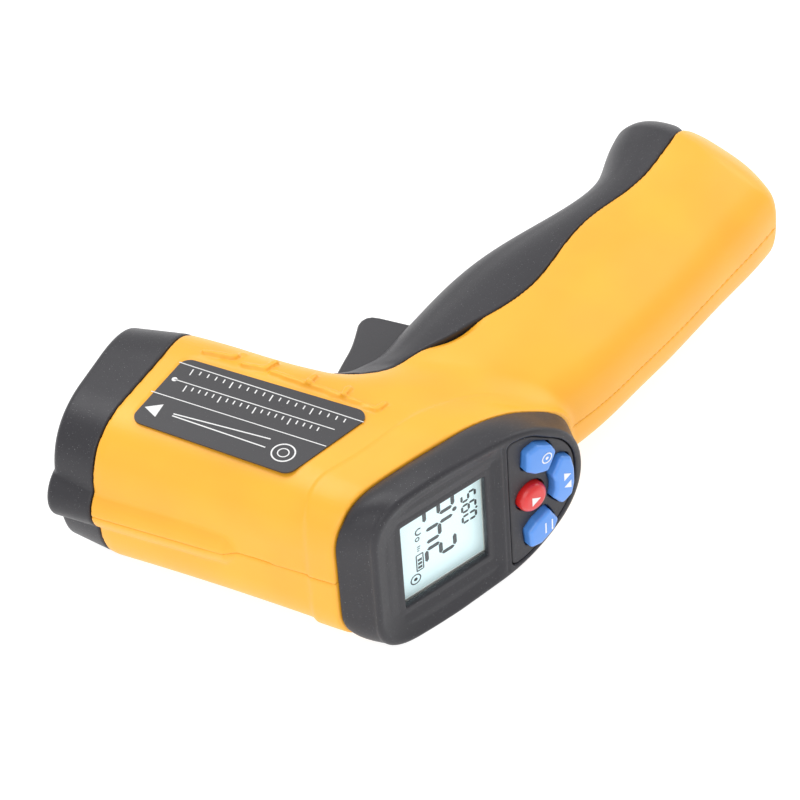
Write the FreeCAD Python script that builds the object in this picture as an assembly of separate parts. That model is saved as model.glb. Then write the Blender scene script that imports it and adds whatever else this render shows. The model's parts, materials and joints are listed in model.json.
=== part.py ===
"""Pistol-grip infrared thermometer, built as an assembly of separate pieces. Millimetres.

Tool frame used for modelling: X runs back from the nose, Y runs down from the top of the barrel to the butt of
the handle, Z points to the tool's right-hand side, and Z = 0 is the plane where the two shells meet.
The row frame is the same, with its origin under the middle of the bounding box: the tool lies on its left side.
"""
import FreeCAD, Part
import math
import os
from FreeCAD import Vector, Placement, Rotation, Matrix

os.makedirs("parts", exist_ok=True)

# ---------------------------------------------------------------- driving dimensions
HALF_WIDTH = 21.46           # the rear bezel is the widest piece
BARREL_HALF = 20.2           # half width of the yellow barrel
BARREL_BOTTOM = 46.0         # height of the barrel, top to underside
WALL = 2.2                   # shell wall
GAP = 0.3                    # running gap between neighbouring bodies
FACE_X, FACE_Y = 75.67, -0.75    # top of the rear face plane, where its own frame has its origin
FACE_TILT = math.radians(26.9)
BEZEL_DEPTH = 7.5
NOSE_SEAM = (10.5, 15.5)     # nose seam, X at the top and at the underside
NOSE_BACK = 13.0             # where the tapered nose meets the straight barrel
SENSOR_Y = 22.0              # optical axis of the infrared lens
LASER_Y = 4.6                # axis of the laser
POD_RADIUS = 6.6             # the bulge over the laser
POD_CREST = 2.0              # how far that bulge stands above the barrel
PIVOT = (51.0, 41.0)         # trigger pivot
HINGE = (85.2, 148.9)        # battery door hinge
BUTTON_TRAVEL = 0.8
TRIGGER_TURN = 7.0           # degrees
BOX_X = (0.0, 113.77)        # bounding box of the finished tool
BOX_Y = (-2.24, 151.58)

ORIGIN = Vector((BOX_X[0] + BOX_X[1]) / 2, (BOX_Y[0] + BOX_Y[1]) / 2, -HALF_WIDTH)
DOWN_FACE = Vector(math.sin(FACE_TILT), math.cos(FACE_TILT), 0)
OUT_FACE = Vector(math.cos(FACE_TILT), -math.sin(FACE_TILT), 0)
Z = Vector(0, 0, 1)


def on_face(shape):
    """Moves a shape from the rear face's own frame (x down the face, y to the right, z out of it) to the tool."""
    m = Matrix(DOWN_FACE.x, 0, OUT_FACE.x, FACE_X,
               DOWN_FACE.y, 0, OUT_FACE.y, FACE_Y,
               0, 1, 0, 0,
               0, 0, 0, 1)
    shape.Placement = Placement(m)
    return shape.copy()


def box(x, y, z):
    """A box from three (low, high) pairs."""
    return Part.makeBox(x[1] - x[0], y[1] - y[0], z[1] - z[0], Vector(x[0], y[0], z[0]))


def rod(start, axis, radius, length):
    return Part.makeCylinder(radius, length, Vector(*start), Vector(*axis))


def fuse(first, *others):
    return first.fuse(list(others)).removeSplitter()


def prism(points, z_low, z_high):
    """A closed outline of X, Y points, extruded along Z."""
    wire = Part.makePolygon([Vector(x, y, z_low) for x, y in points + points[:1]])
    return Part.Face(wire).extrude(Vector(0, 0, z_high - z_low))


def curve_prism(curve, corners, z_low, z_high):
    """The region between a smooth curve through points and straight runs to the given corners."""
    spline = Part.BSplineCurve()
    spline.interpolate([Vector(x, y, z_low) for x, y in curve])
    rest = [curve[-1]] + corners + [curve[0]]
    lines = [Part.makeLine(Vector(*a, z_low), Vector(*b, z_low)) for a, b in zip(rest, rest[1:])]
    face = Part.Face(Part.Wire([spline.toShape()] + lines))
    return face.extrude(Vector(0, 0, z_high - z_low))


# ---------------------------------------------------------------- rounded sections and lofts
def rounded_wire(half_outline, place):
    """A closed symmetric section: half_outline lists (along, half width, rounding) corners from top to bottom."""
    corners = half_outline + [(a, -w, r) for a, w, r in reversed(half_outline)]
    count = len(corners)
    arcs = []
    for i, (a, w, r) in enumerate(corners):
        here = Vector(a, w, 0)
        before = Vector(*corners[i - 1][:2], 0)
        after = Vector(*corners[(i + 1) % count][:2], 0)
        start = here + (before - here).normalize() * r
        end = here + (after - here).normalize() * r
        curve = Part.BezierCurve()
        curve.setPoles([start, start + (here - start) * 0.55, end + (here - end) * 0.55, end])
        arcs.append((start, end, curve.toShape()))
    edges = []
    for i, (start, end, arc) in enumerate(arcs):
        edges += [arc, Part.makeLine(end, arcs[(i + 1) % count][0])]
    wire = Part.Wire(edges)
    wire.Placement = place
    return wire


def section_place(x, y, tilt):
    """A section plane through X, Y: its first axis runs down, tilted back by tilt, its second axis is Z."""
    s, c = math.sin(tilt), math.cos(tilt)
    return Placement(Matrix(s, 0, c, x, c, 0, -s, y, 0, 1, 0, 0, 0, 0, 0, 1))


def shrink(outline, inset):
    """The same section, drawn in by inset at both ends and at the sides."""
    last = len(outline) - 1
    moved = []
    for i, (along, half, rounding) in enumerate(outline):
        shift = inset if i == 0 else -inset if i == last else 0.0
        half -= inset
        moved.append((along + shift, half, min(rounding, half * 0.88)))
    return moved


def mix(a, b, share):
    return a + (b - a) * share


def ramp(value, low, high):
    """Goes smoothly from 0 to 1 as value goes from low to high."""
    t = min(max((value - low) / (high - low), 0.0), 1.0)
    return t * t * (3 - 2 * t)


def nose_part(inset, x_front):
    """The straight-tapered front of the barrel, as far back as the nose seam's middle."""
    front = shrink([(1.6, 18.8, 11.0), (22.0, 18.8, 3.0), (43.6, 18.8, 13.0)], inset)
    back = shrink([(0.0, BARREL_HALF, 11.5), (22.0, BARREL_HALF, 3.0), (45.6, BARREL_HALF, 13.5)], inset)
    return Part.makeLoft([rounded_wire(front, section_place(x_front, 0, 0)),
                          rounded_wire(back, section_place(NOSE_BACK, 0, 0))], True, True)


def barrel_part(inset, offset):
    """The barrel behind the nose, turning gradually parallel to the rear face, to a plane offset from that face."""
    x_end = FACE_X + offset * math.cos(FACE_TILT)
    y_end = FACE_Y - offset * math.sin(FACE_TILT)
    wires = []
    steps = 9
    for i in range(steps + 1):
        share = i / steps
        bend = share ** 2.0
        drop = bend * ramp(share, 0.5, 0.85)         # the underside stays level in front of the trigger
        outline = [(mix(0.0, -4.0, bend), mix(BARREL_HALF, 19.4, bend), mix(11.5, 10.5, bend)),
                   (mix(22.0, 39.0, bend), mix(BARREL_HALF, 19.4, bend), mix(3.0, 9.0, bend)),
                   (mix(45.6, 60.0, drop), mix(BARREL_HALF, 9.0, drop), mix(13.5, 7.8, bend))]
        place = section_place(mix(NOSE_BACK, x_end, share), y_end * bend, FACE_TILT * bend)
        wires.append(rounded_wire(shrink(outline, inset), place))
    return Part.makeLoft(wires, True, False)


def barrel(inset, x_front, offset):
    """The whole barrel from its nose to a plane parallel to the rear face. inset thins it for the inner skin."""
    return nose_part(inset, x_front).fuse(barrel_part(inset, offset)).removeSplitter()


HANDLE_SECTIONS = [          # Y, front X, back X, half width
    (36.0, 46.0, 84.0, 14.0),
    (46.0, 46.0, 88.5, 15.0),
    (54.0, 48.4, 93.0, 15.6),
    (62.0, 50.8, 96.6, 15.8),
    (71.0, 52.7, 99.8, 15.8),
    (82.0, 54.7, 102.7, 15.6),
    (94.0, 58.3, 105.8, 15.4),
    (106.0, 64.0, 108.4, 15.2),
    (118.0, 70.2, 111.0, 15.4),
    (128.0, 72.6, 112.9, 16.0),
    (138.0, 71.3, 114.2, 16.6),
    (148.0, 71.6, 115.2, 16.8),
    (156.0, 73.0, 116.0, 16.8),
]


def handle(inset):
    """The handle as a loft of level sections, each longer than it is wide."""
    wires = []
    for y, front, back, half in HANDLE_SECTIONS:
        f, b, w = front + inset, back - inset, half - inset
        depth = b - f
        outline = [(f, w * 0.62, min(6.0, w * 0.5)), (f + 0.30 * depth, w, 5.0), (f + 0.66 * depth, w, 5.0),
                   (b, w * 0.66, 6.0)]
        place = Placement(Matrix(1, 0, 0, 0, 0, 0, -1, y, 0, 1, 0, 0, 0, 0, 0, 1))
        wires.append(rounded_wire(outline, place))
    return Part.makeLoft(wires, True, False)


def butt_cutter(lift):
    """Everything past the curved butt of the handle, moved up by lift."""
    curve = [(64, 141), (71.6, 142.5), (75.0, 148.5), (80.0, 151.5), (85.0, 151.0), (91.0, 149.6), (97.0, 147.4),
             (104.0, 143.0), (110.5, 137.4), (118.0, 130.0)]
    return curve_prism([(x, y - lift) for x, y in curve], [(130, 130), (130, 175), (60, 175)], -30, 30)


def pod(inset):
    """The laser bulge along the top of the barrel."""
    radius = POD_RADIUS - inset
    straight, end, tip = Vector(26.0, -radius, 0), Vector(44.5, 4.2 - radius, 0), Vector(46.0, 0, 0)
    curve = Part.BSplineCurve()
    curve.interpolate([straight, Vector(36.0, 0.5 - radius, 0), end])
    front = Vector(0, -radius, 0)
    edges = [Part.makeLine(Vector(), front), Part.makeLine(front, straight), curve.toShape(),
             Part.makeLine(end, tip), Part.makeLine(tip, Vector())]
    solid = Part.Face(Part.Wire(edges)).revolve(Vector(), Vector(1, 0, 0), 360)
    solid.translate(Vector(0, POD_RADIUS - POD_CREST, 0))
    return solid


# ---------------------------------------------------------------- regions that divide the body
GRIP_LINE = [(47.0, 42.0), (52.5, 44.6), (56.6, 48.4), (59.0, 53.2), (62.6, 59.0), (69.4, 69.0), (74.4, 78.0),
             (77.0, 86.0), (78.0, 94.0), (78.8, 102.0), (80.3, 110.0), (83.9, 118.5), (86.5, 127.0), (87.9, 136.0),
             (88.6, 144.0), (88.9, 153.0)]


def nose_region(shift):
    top, low = NOSE_SEAM
    slope = (low - top) / BARREL_BOTTOM
    return prism([(-5, -8), (top - 8 * slope + shift, -8), (low + 14 * slope + shift, 60), (-5, 60)], -30, 30)


def grip_region(shift):
    """In front of the line where the grip cover meets the yellow shells."""
    line = [(x + shift, y) for x, y in GRIP_LINE]
    return curve_prism(line, [(GRIP_LINE[-1][0] + shift, 165), (20, 165), (20, 42)], -30, 30)


def behind_plane(offset):
    """Everything further out than a plane parallel to the rear face."""
    block = Part.makeBox(140, 80, 60, Vector(-40, -40, offset))
    return on_face(block)


# ---------------------------------------------------------------- housing
BARREL_OUT = barrel(0, 0.0, -BEZEL_DEPTH)
BARREL_IN = barrel(WALL, -1.0, -BEZEL_DEPTH)
BARREL_ROOM = barrel(-GAP, 0.0, -BEZEL_DEPTH).common(box((0, 57.5), (-10, 80), (-40, 40)))
HANDLE_OUT = handle(0).cut(butt_cutter(0))
HANDLE_IN = handle(WALL).cut(butt_cutter(WALL))
POD_OUT = pod(0)
POD_IN = pod(WALL - 0.6)

TRIGGER_HALF = 4.3
PIN_RADIUS = 1.5
RUNNING = 0.06               # radial clearance of a pin that turns


def trigger_profile(grow):
    """Side outline of the trigger: a hooked finger piece below the barrel and a lever up to its pivot."""
    front = [(45.6, 42.0), (44.0, 50.0), (43.3, 56.5), (43.0, 61.5), (42.0, 66.5)]
    curve = Part.BSplineCurve()
    curve.interpolate([Vector(x - grow, y, 0) for x, y in front])
    path = [(42.0 - grow, 66.5), (40.9 - grow, 69.6), (41.6 - grow, 71.6 + grow), (55.6 + grow, 72.2 + grow),
            (57.4 + grow, 70.6), (57.0 + grow, 52.0), (55.6 + grow, 44.0), (55.6 + grow, 38.0 - grow),
            (46.4 - grow, 38.0 - grow), (45.6 - grow, 42.0)]
    lines = [Part.makeLine(Vector(*a, 0), Vector(*b, 0)) for a, b in zip(path, path[1:])]
    half = TRIGGER_HALF + grow
    face = Part.Face(Part.Wire([curve.toShape()] + lines))
    solid = face.extrude(Vector(0, 0, 2 * half))
    solid.translate(Vector(0, 0, -half))
    return solid


def turned(shape, degrees, centre):
    """A copy turned about a Z axis through centre."""
    copy = shape.copy()
    copy.rotate(Vector(*centre, 0), Z, degrees)
    return copy


def trigger_sweep():
    """The room the trigger needs, from rest to fully squeezed."""
    room = trigger_profile(0.7)
    return fuse(room, turned(room, -TRIGGER_TURN / 2, PIVOT), turned(room, -TRIGGER_TURN, PIVOT))


SCREWS = [(24.0, 38.5), (60.0, 7.5), (93.5, 74.0), (103.0, 130.0)]
BOSS_RADIUS = 3.0
SCREW_RADIUS = 1.0
HEAD_RADIUS = 2.0
HEAD_Z = -8.0                # where the screw heads seat, measured from the centre plane
LABEL_FLOOR = BARREL_HALF - 0.35
LABEL_TOP = BARREL_HALF - 0.05


def label_outline(grow):
    """The four-sided plate on the barrel's side, as an outline grown by grow."""
    return [(16.0 - grow, 9.6 - grow), (54.2 + grow * 0.6, 7.0 - grow), (63.4 + grow * 1.4, 29.6 + grow),
            (18.6 - grow, 30.8 + grow)]


def label(sign, grow, low, high):
    """A plate with rounded corners on one side of the barrel."""
    plate = prism(label_outline(grow), low, high)
    upright = [e for e in plate.Edges if abs(e.tangentAt(e.FirstParameter).z) > 0.99]
    plate = plate.makeFillet(2.6, upright)
    return plate if sign > 0 else plate.mirror(Vector(0, 0, 0), Z)


EAR_Z = (4.0, 7.2)
KNUCKLE_Z = (7.6, 10.8)
HINGE_PIN_RADIUS = 1.0


def hinge_ear(sign, grow):
    """A lug from one shell that holds the door's hinge pin."""
    low, high = sorted((sign * EAR_Z[0], sign * EAR_Z[1]))
    lug = rod((*HINGE, low - grow), (0, 0, 1), 2.0 + grow, high - low + 2 * grow)
    web = prism([(HINGE[0] - 0.5, HINGE[1] - 2.0 - grow), (100.0, 136.0), (100.0, 144.6),
                 (92.0, 147.9 + grow * 0.5), (HINGE[0] + 1.0, HINGE[1] + 1.7 + grow)], low - grow, high + grow)
    return fuse(lug, web)


def battery_wall():
    """A rib across the handle behind the battery tray."""
    return prism([(82.6, 76.0), (84.2, 75.6), (97.6, 134.5), (96.0, 135.0)], -20, 20)


def pry_notch(sign):
    return Part.makeSphere(6.5, Vector(66.2, 61.6, sign * 21.0))


def shells():
    """The two yellow halves, hollow, with their ribs, bosses, pin bores and recesses."""
    outer = BARREL_OUT.fuse([HANDLE_OUT, POD_OUT])
    body = outer.cut([nose_region(0), behind_plane(-BEZEL_DEPTH), grip_region(0).cut(BARREL_ROOM)])
    hollow = body.cut([BARREL_IN.fuse([HANDLE_IN]), POD_IN])
    for sign, name in ((1, "right_shell"), (-1, "left_shell")):
        side = box((-10, 130), (-10, 170), (0, 40) if sign > 0 else (-40, 0))
        room = body.common(side)
        posts = [rod((x, y, 0), (0, 0, sign), BOSS_RADIUS, 25) for x, y in SCREWS]
        posts.append(rod((*PIVOT, sign * (TRIGGER_HALF + 0.5)), (0, 0, sign), 3.4, 25))
        high = (3.3, 25) if sign > 0 else (-25, -3.3)
        posts.append(box((60.4, 64.0), (48.6, 51.4), high))          # switch cradle, upper rib
        posts.append(box((60.4, 64.0), (54.6, 57.2), high))          # switch cradle, lower rib
        posts.append(box((66.0, 67.6), (58.5, 66.5), (0, 25) if sign > 0 else (-25, 0)))   # spring seat
        posts.append(box((33.25, 35.0), (9.5, 12.5), (8, 25) if sign > 0 else (-25, -8)))  # sensor board rail
        half = hollow.common(side).fuse([p.common(room) for p in posts] + [battery_wall().common(room),
                                                                           hinge_ear(sign, 0)])
        cuts = [trigger_sweep(), label(sign, 0.25, LABEL_FLOOR, 30), pry_notch(sign),
                rod((*HINGE, -30), (0, 0, 1), 2.8, 30 - KNUCKLE_Z[0] + GAP),
                rod((*HINGE, KNUCKLE_Z[0] - GAP), (0, 0, 1), 2.8, 30),
                rod((*HINGE, -30), (0, 0, 1), HINGE_PIN_RADIUS + RUNNING, 60),
                rod((*PIVOT, -12.0), (0, 0, 1), PIN_RADIUS, 24.0)]
        for x, y in SCREWS:
            if sign > 0:
                cuts.append(rod((x, y, -1), (0, 0, 1), SCREW_RADIUS, 9))
            else:
                cuts.append(rod((x, y, 1), (0, 0, -1), SCREW_RADIUS + 0.25, 30))
                cuts.append(rod((x, y, HEAD_Z), (0, 0, -1), HEAD_RADIUS + 0.2, 30))
        emit(name, half.cut(cuts), 1)


DOOR_WALL = 2.0
DOOR_OPEN = 60.0             # degrees the battery door swings


def grip_cover():
    """The black front of the handle: a U-shaped door that forks round the trigger and hinges at the butt."""
    outer = HANDLE_OUT.common(grip_region(-0.2)).cut(BARREL_ROOM)
    corner = box((HINGE[0], HINGE[0] + 6), (HINGE[1], HINGE[1] + 8), (-30, 30))
    corner = corner.cut(rod((*HINGE, -30), (0, 0, 1), 2.4, 60))
    outer = outer.cut(corner)
    cover = outer.cut(handle(DOOR_WALL).cut(butt_cutter(DOOR_WALL)))
    knuckles = []
    for sign in (-1, 1):
        low, high = sorted((sign * KNUCKLE_Z[0], sign * KNUCKLE_Z[1]))
        knuckle = rod((*HINGE, low), (0, 0, 1), 2.1, high - low)
        web = box((HINGE[0] - 8.0, HINGE[0]), (HINGE[1] - 1.6, HINGE[1] + 1.6), (low, high))
        knuckles.append(fuse(knuckle, web))
    cover = cover.fuse(knuckles)
    clear = [trigger_sweep().fuse(box((30, 57.9), (40, 73.6), (-5.0, 5.0)))]
    for sign in (-1, 1):
        ear = hinge_ear(sign, 0.35)
        clear += [turned(ear, angle, HINGE) for angle in range(0, int(DOOR_OPEN) + 1, 12)]
    cover = cover.cut(clear + [rod((*HINGE, -11), (0, 0, 1), HINGE_PIN_RADIUS, 22)])
    pieces = sorted(cover.Solids, key=lambda piece: piece.Volume)
    emit("grip_cover", pieces[-1], 1)
    emit("door_hinge_pin", rod((*HINGE, -KNUCKLE_Z[1]), (0, 0, 1), HINGE_PIN_RADIUS, 2 * KNUCKLE_Z[1]), 1)


APERTURE_RADIUS = 8.0
LENS_TUBE_RADIUS = 9.0


def nose_cap():
    """The black cap over the front of the barrel, with the sensor's flared opening and the laser's hole."""
    outer = BARREL_OUT.fuse([POD_OUT]).common(nose_region(-0.1))
    inner = nose_part(WALL, 3.0).fuse([barrel_part(WALL, -BEZEL_DEPTH)])
    cap = outer.cut([inner, POD_IN.common(box((3.0, 60), (-10, 10), (-10, 10)))])
    flare = Part.makeCone(12.0, APERTURE_RADIUS, 4.6, Vector(-0.01, SENSOR_Y, 0), Vector(1, 0, 0))
    collar = rod((2.0, SENSOR_Y, 0), (1, 0, 0), LENS_TUBE_RADIUS + 1.6, 5.0)
    laser_seat = rod((2.0, LASER_Y, 0), (1, 0, 0), 4.6, 3.5).common(outer)
    cap = cap.fuse([collar, laser_seat])
    cap = cap.cut([flare, rod((4.5, SENSOR_Y, 0), (1, 0, 0), LENS_TUBE_RADIUS + 0.05, 10),
                   rod((-1, LASER_Y, 0), (1, 0, 0), 1.6, 10), rod((3.0, LASER_Y, 0), (1, 0, 0), 3.05, 10)])
    emit("nose_cap", cap, 1)


def face_section(half_outline, out):
    return rounded_wire(half_outline, Placement(Vector(0, 0, out), Rotation()))


SEAM_OUTLINE = [(-4.0, 19.4, 10.5), (18.0, 19.4, 3.0), (39.0, 19.4, 9.0), (60.0, 9.0, 7.8)]
RIM_OUTLINE = [(0.9, 20.6, 9.0), (20.0, 21.6, 4.0), (42.5, 19.8, 7.5), (57.2, 9.0, 7.9)]
WINDOW = ((9.2, 31.7), 11.95)          # display opening, down the face, and its half width
PANEL_OUTLINE = [(36.9, 18.3, 1.6), (42.3, 17.7, 2.6), (55.2, 8.2, 6.2)]
PANEL_TOP, PANEL_BOTTOM = -0.25, -1.4


def face_loft(levels):
    """A stack of sections in the face's own frame, given as (outline, distance out of the face)."""
    return Part.makeLoft([face_section(outline, out) for outline, out in levels], True, True)


def face_slab(outline, low, high):
    return face_loft([(outline, low), (outline, high)])


def rear_bezel():
    """The black frame round the display and the buttons, flaring out from the shells to a rounded rim."""
    def between(share):
        return [tuple(mix(a, b, share) for a, b in zip(seam, rim)) for seam, rim in zip(SEAM_OUTLINE, RIM_OUTLINE)]
    outer = face_loft([(between(0.0), -BEZEL_DEPTH), (between(0.62), -4.6), (between(0.93), -2.2),
                       (between(1.0), -1.3), (shrink(between(1.0), 0.35), -0.45), (shrink(between(1.0), 1.3), 0)])
    inner = face_loft([(shrink(between(0.0), 1.8), -BEZEL_DEPTH - 0.01), (shrink(between(0.62), 1.8), -4.6),
                       (shrink(between(0.9), 1.8), -2.6)])
    skirt = face_slab(shrink(SEAM_OUTLINE, WALL + 0.7), -8.7, -BEZEL_DEPTH)
    skirt = skirt.cut(face_slab(shrink(SEAM_OUTLINE, WALL + 1.5), -9.0, -BEZEL_DEPTH + 1))
    web = face_slab(shrink(SEAM_OUTLINE, 1.2), -BEZEL_DEPTH, -6.6)
    web = web.cut(face_slab(shrink(SEAM_OUTLINE, WALL + 1.5), -9.0, -6.0))
    (t0, t1), half = WINDOW
    frame_wall = box((t0 - 1.6, t1 + 1.6), (-half - 1.6, half + 1.6), (-3.0, -1.5))
    bezel = outer.cut(inner).fuse([skirt, web, frame_wall])
    bezel = bezel.cut([box((t0, t1), (-half, half), (-8, 2)),
                       face_slab(PANEL_OUTLINE, PANEL_BOTTOM, 2), face_slab(shrink(PANEL_OUTLINE, 0.6), -4, 2)])
    emit("rear_bezel", on_face(bezel), 1)


def mirrored(outline):
    return [(t, -z) for t, z in reversed(outline)]


SIDE_BUTTON = [(40.3, 9.0), (42.6, 6.8), (46.6, 5.6), (49.2, 10.1), (48.3, 12.3), (43.6, 15.0), (41.0, 14.4)]
DOWN_BUTTON = [(48.1, -2.2), (47.9, -4.2), (50.6, -7.2), (52.7, -6.1), (53.7, -3.0), (53.7, 3.0), (52.7, 6.1),
               (50.6, 7.2), (47.9, 4.2), (48.1, 2.2)]
RED_RADIUS = 3.6
BUTTON_TOP = 1.9
FLANGE = (-3.5, -2.7)
SWITCH_TOP = -7.4
PLUNGER_PROUD = BUTTON_TRAVEL + 0.1     # how far a switch plunger stands out of its can
PLUNGER_DEPTH = 0.35                    # and how far it reaches into the can
BOARD_TOP, BOARD_BOTTOM = -9.0, -10.6


def flat_prism(outline, low, high, rounding=0.0):
    """An outline in the face's own frame, extruded out of the face, its upright edges rounded."""
    solid = prism(outline, low, high)
    if rounding:
        upright = [e for e in solid.Edges if abs(e.tangentAt(e.FirstParameter).z) > 0.99]
        solid = solid.makeFillet(rounding, upright)
    return solid


def grown(outline, grow):
    """An outline pushed out from its middle by about grow."""
    ct = sum(t for t, z in outline) / len(outline)
    cz = sum(z for t, z in outline) / len(outline)
    out = []
    for t, z in outline:
        reach = math.hypot(t - ct, z - cz)
        out.append((ct + (t - ct) * (reach + grow) / reach, cz + (z - cz) * (reach + grow) / reach))
    return out


BUTTONS = {                  # name: (outline or None for the round one, switch centre down the face and across)
    "button_ems": (SIDE_BUTTON, (44.6, 9.4)),
    "button_set": (mirrored(SIDE_BUTTON), (44.6, -9.4)),
    "button_mode": (None, (42.6, 0.0)),
    "button_down": (DOWN_BUTTON, (50.9, 0.0)),
}
PLUNGER_NAMES = {"button_ems": "plunger_ems", "button_set": "plunger_set", "button_mode": "plunger_mode",
                 "button_down": "plunger_down"}


def button_hole(outline, centre):
    if outline is None:
        return rod((*centre, -5), (0, 0, 1), RED_RADIUS + 0.25, 8)
    return flat_prism(grown(outline, 0.35), -5, 3, 0.8)


def buttons():
    """Four keys with a flange under the panel, each pushing its own switch plunger."""
    for name, (outline, centre) in BUTTONS.items():
        if outline is None:
            cap = rod((*centre, FLANGE[0]), (0, 0, 1), RED_RADIUS, BUTTON_TOP - FLANGE[0])
            top = [e for e in cap.Edges if e.BoundBox.ZMin > BUTTON_TOP - 0.01 and e.BoundBox.XLength > 1]
            cap = cap.makeFillet(1.3, top[:1])
            flange = rod((*centre, FLANGE[0]), (0, 0, 1), RED_RADIUS + 0.55, FLANGE[1] - FLANGE[0])
        else:
            cap = flat_prism(outline, FLANGE[0], BUTTON_TOP, 0.8)
            rim = [e for e in cap.Edges if e.BoundBox.ZMin > BUTTON_TOP - 0.01]
            cap = cap.makeChamfer(0.55, rim)
            flange = flat_prism(grown(outline, 0.6), FLANGE[0], FLANGE[1], 0.8)
        stem_low = SWITCH_TOP + PLUNGER_PROUD
        stem = rod((*centre, stem_low), (0, 0, 1), 1.5, FLANGE[0] + 0.05 - stem_low)
        emit(name, on_face(fuse(cap, flange, stem)), 1)
        plunger = rod((*centre, SWITCH_TOP - PLUNGER_DEPTH), (0, 0, 1), 1.0, PLUNGER_DEPTH + PLUNGER_PROUD)
        emit(PLUNGER_NAMES[name], on_face(plunger), 1)


def button_panel():
    panel = face_slab(shrink(PANEL_OUTLINE, 0.2), PANEL_BOTTOM, PANEL_TOP)
    panel = panel.cut([button_hole(*spec) for spec in BUTTONS.values()])
    emit("button_panel", on_face(panel), 1)


# ---------------------------------------------------------------- display and electronics
def display():
    (t0, t1), half = WINDOW
    emit("display_window", on_face(box((t0 - 1.2, t1 + 1.2), (-half - 1.2, half + 1.2), (-4.1, -3.0))), 1)
    emit("display_panel", on_face(box((t0 - 0.8, t1 + 0.8), (-half - 0.8, half + 0.8), (-6.5, -4.3))), 1)
    emit("display_backlight", on_face(box((t0 - 0.8, t1 + 0.8), (-half - 0.8, half + 0.8), (-8.4, -6.6))), 1)
    frame = box((t0 - 2.2, t1 + 2.2), (-half - 1.9, half + 1.9), (BOARD_TOP, -4.2))
    frame = frame.cut(box((t0 - 1.0, t1 + 1.0), (-half - 1.0, half + 1.0), (-8.5, -4)))
    frame = frame.cut(box((t0 + 1.0, t1 - 1.0), (-half + 1.0, half - 1.0), (BOARD_TOP - 1, -8)))
    strip = box((t1 + 1.25, t1 + 1.95), (-half + 0.5, half - 0.5), (BOARD_TOP, -5.2))
    frame = frame.cut(strip)
    emit("display_frame", on_face(frame), 1)
    emit("display_connector", on_face(strip), 1)


BOARD_SCREWS = [(4.2, -11.5), (4.2, 11.5)]


def boards():
    outline = [(2.4, -14.2), (36.0, -14.6), (46.0, -12.6), (52.4, -7.0), (52.4, 7.0), (46.0, 12.6), (36.0, 14.6),
               (2.4, 14.2)]
    board = flat_prism(outline, BOARD_BOTTOM, BOARD_TOP, 0.8)
    board = board.cut([rod((t, z, -20), (0, 0, 1), 0.8, 20) for t, z in BOARD_SCREWS])
    emit("main_board", on_face(board), 1)
    chips = [box((12, 19), (-3.5, 3.5), (-12.0, BOARD_BOTTOM)), box((24, 29), (-9, -5), (-11.8, BOARD_BOTTOM)),
             box((24, 28), (4, 9), (-11.8, BOARD_BOTTOM)), box((34, 37), (-3, 2), (-11.6, BOARD_BOTTOM))]
    emit("board_chips", on_face(Part.makeCompound(chips)), len(chips))
    screws = []
    for t, z in BOARD_SCREWS:
        head = rod((t, z, BOARD_TOP), (0, 0, 1), 1.5, 0.8)
        screws.append(fuse(head, rod((t, z, BOARD_TOP - 4.6), (0, 0, 1), 0.8, 4.6)))
    emit("board_screws", on_face(Part.makeCompound(screws)), len(screws))
    cans = []
    for outline, (t, z) in BUTTONS.values():
        can = box((t - 1.9, t + 1.9), (z - 1.9, z + 1.9), (BOARD_TOP, SWITCH_TOP))
        cans.append(can.cut(rod((t, z, BOARD_TOP + 0.3), (0, 0, 1), 1.0 + RUNNING, 3)))
    emit("key_switches", on_face(Part.makeCompound(cans)), len(cans))
    emit("buzzer", on_face(rod((42.0, 0, -14.0), (0, 0, 1), 4.5, 14.0 + BOARD_BOTTOM)), 1)


def optics():
    """The infrared lens, its tube, the thermopile behind it and its board, and the aiming laser."""
    tube = rod((4.6, SENSOR_Y, 0), (1, 0, 0), LENS_TUBE_RADIUS, 27.0)
    tube = tube.cut([rod((4.0, SENSOR_Y, 0), (1, 0, 0), 7.5, 3.2), rod((4.0, SENSOR_Y, 0), (1, 0, 0), 6.6, 22.0),
                     rod((20.0, SENSOR_Y, 0), (1, 0, 0), 4.75, 20.0)])
    emit("lens_tube", tube, 1)
    ball = Part.makeSphere(16.0, Vector(6.0 + 14.9, SENSOR_Y, 0))
    lens = rod((5.0, SENSOR_Y, 0), (1, 0, 0), 7.4, 2.2).common(ball)
    emit("infrared_lens", lens, 1)
    thermopile = fuse(rod((26.4, SENSOR_Y, 0), (1, 0, 0), 4.1, 4.0), rod((30.4, SENSOR_Y, 0), (1, 0, 0), 4.7, 1.2))
    emit("thermopile", thermopile, 1)
    emit("sensor_board", box((31.6, 33.2), (SENSOR_Y - 11.5, SENSOR_Y + 11.5), (-11.5, 11.5)), 1)
    laser = rod((4.2, LASER_Y, 0), (1, 0, 0), 3.0, 12.0)
    laser = laser.cut(rod((4.0, LASER_Y, 0), (1, 0, 0), 1.7, 2.0))
    emit("laser_module", laser, 1)
    emit("laser_window", rod((3.2, LASER_Y, 0), (1, 0, 0), 2.9, 0.9), 1)
    emit("laser_board", box((16.2, 23.0), (LASER_Y - 0.6, LASER_Y + 0.6), (-2.6, 2.6)), 1)


# ---------------------------------------------------------------- trigger
SWITCH_Y = 53.0
SWITCH_FACE = 60.2


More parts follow.
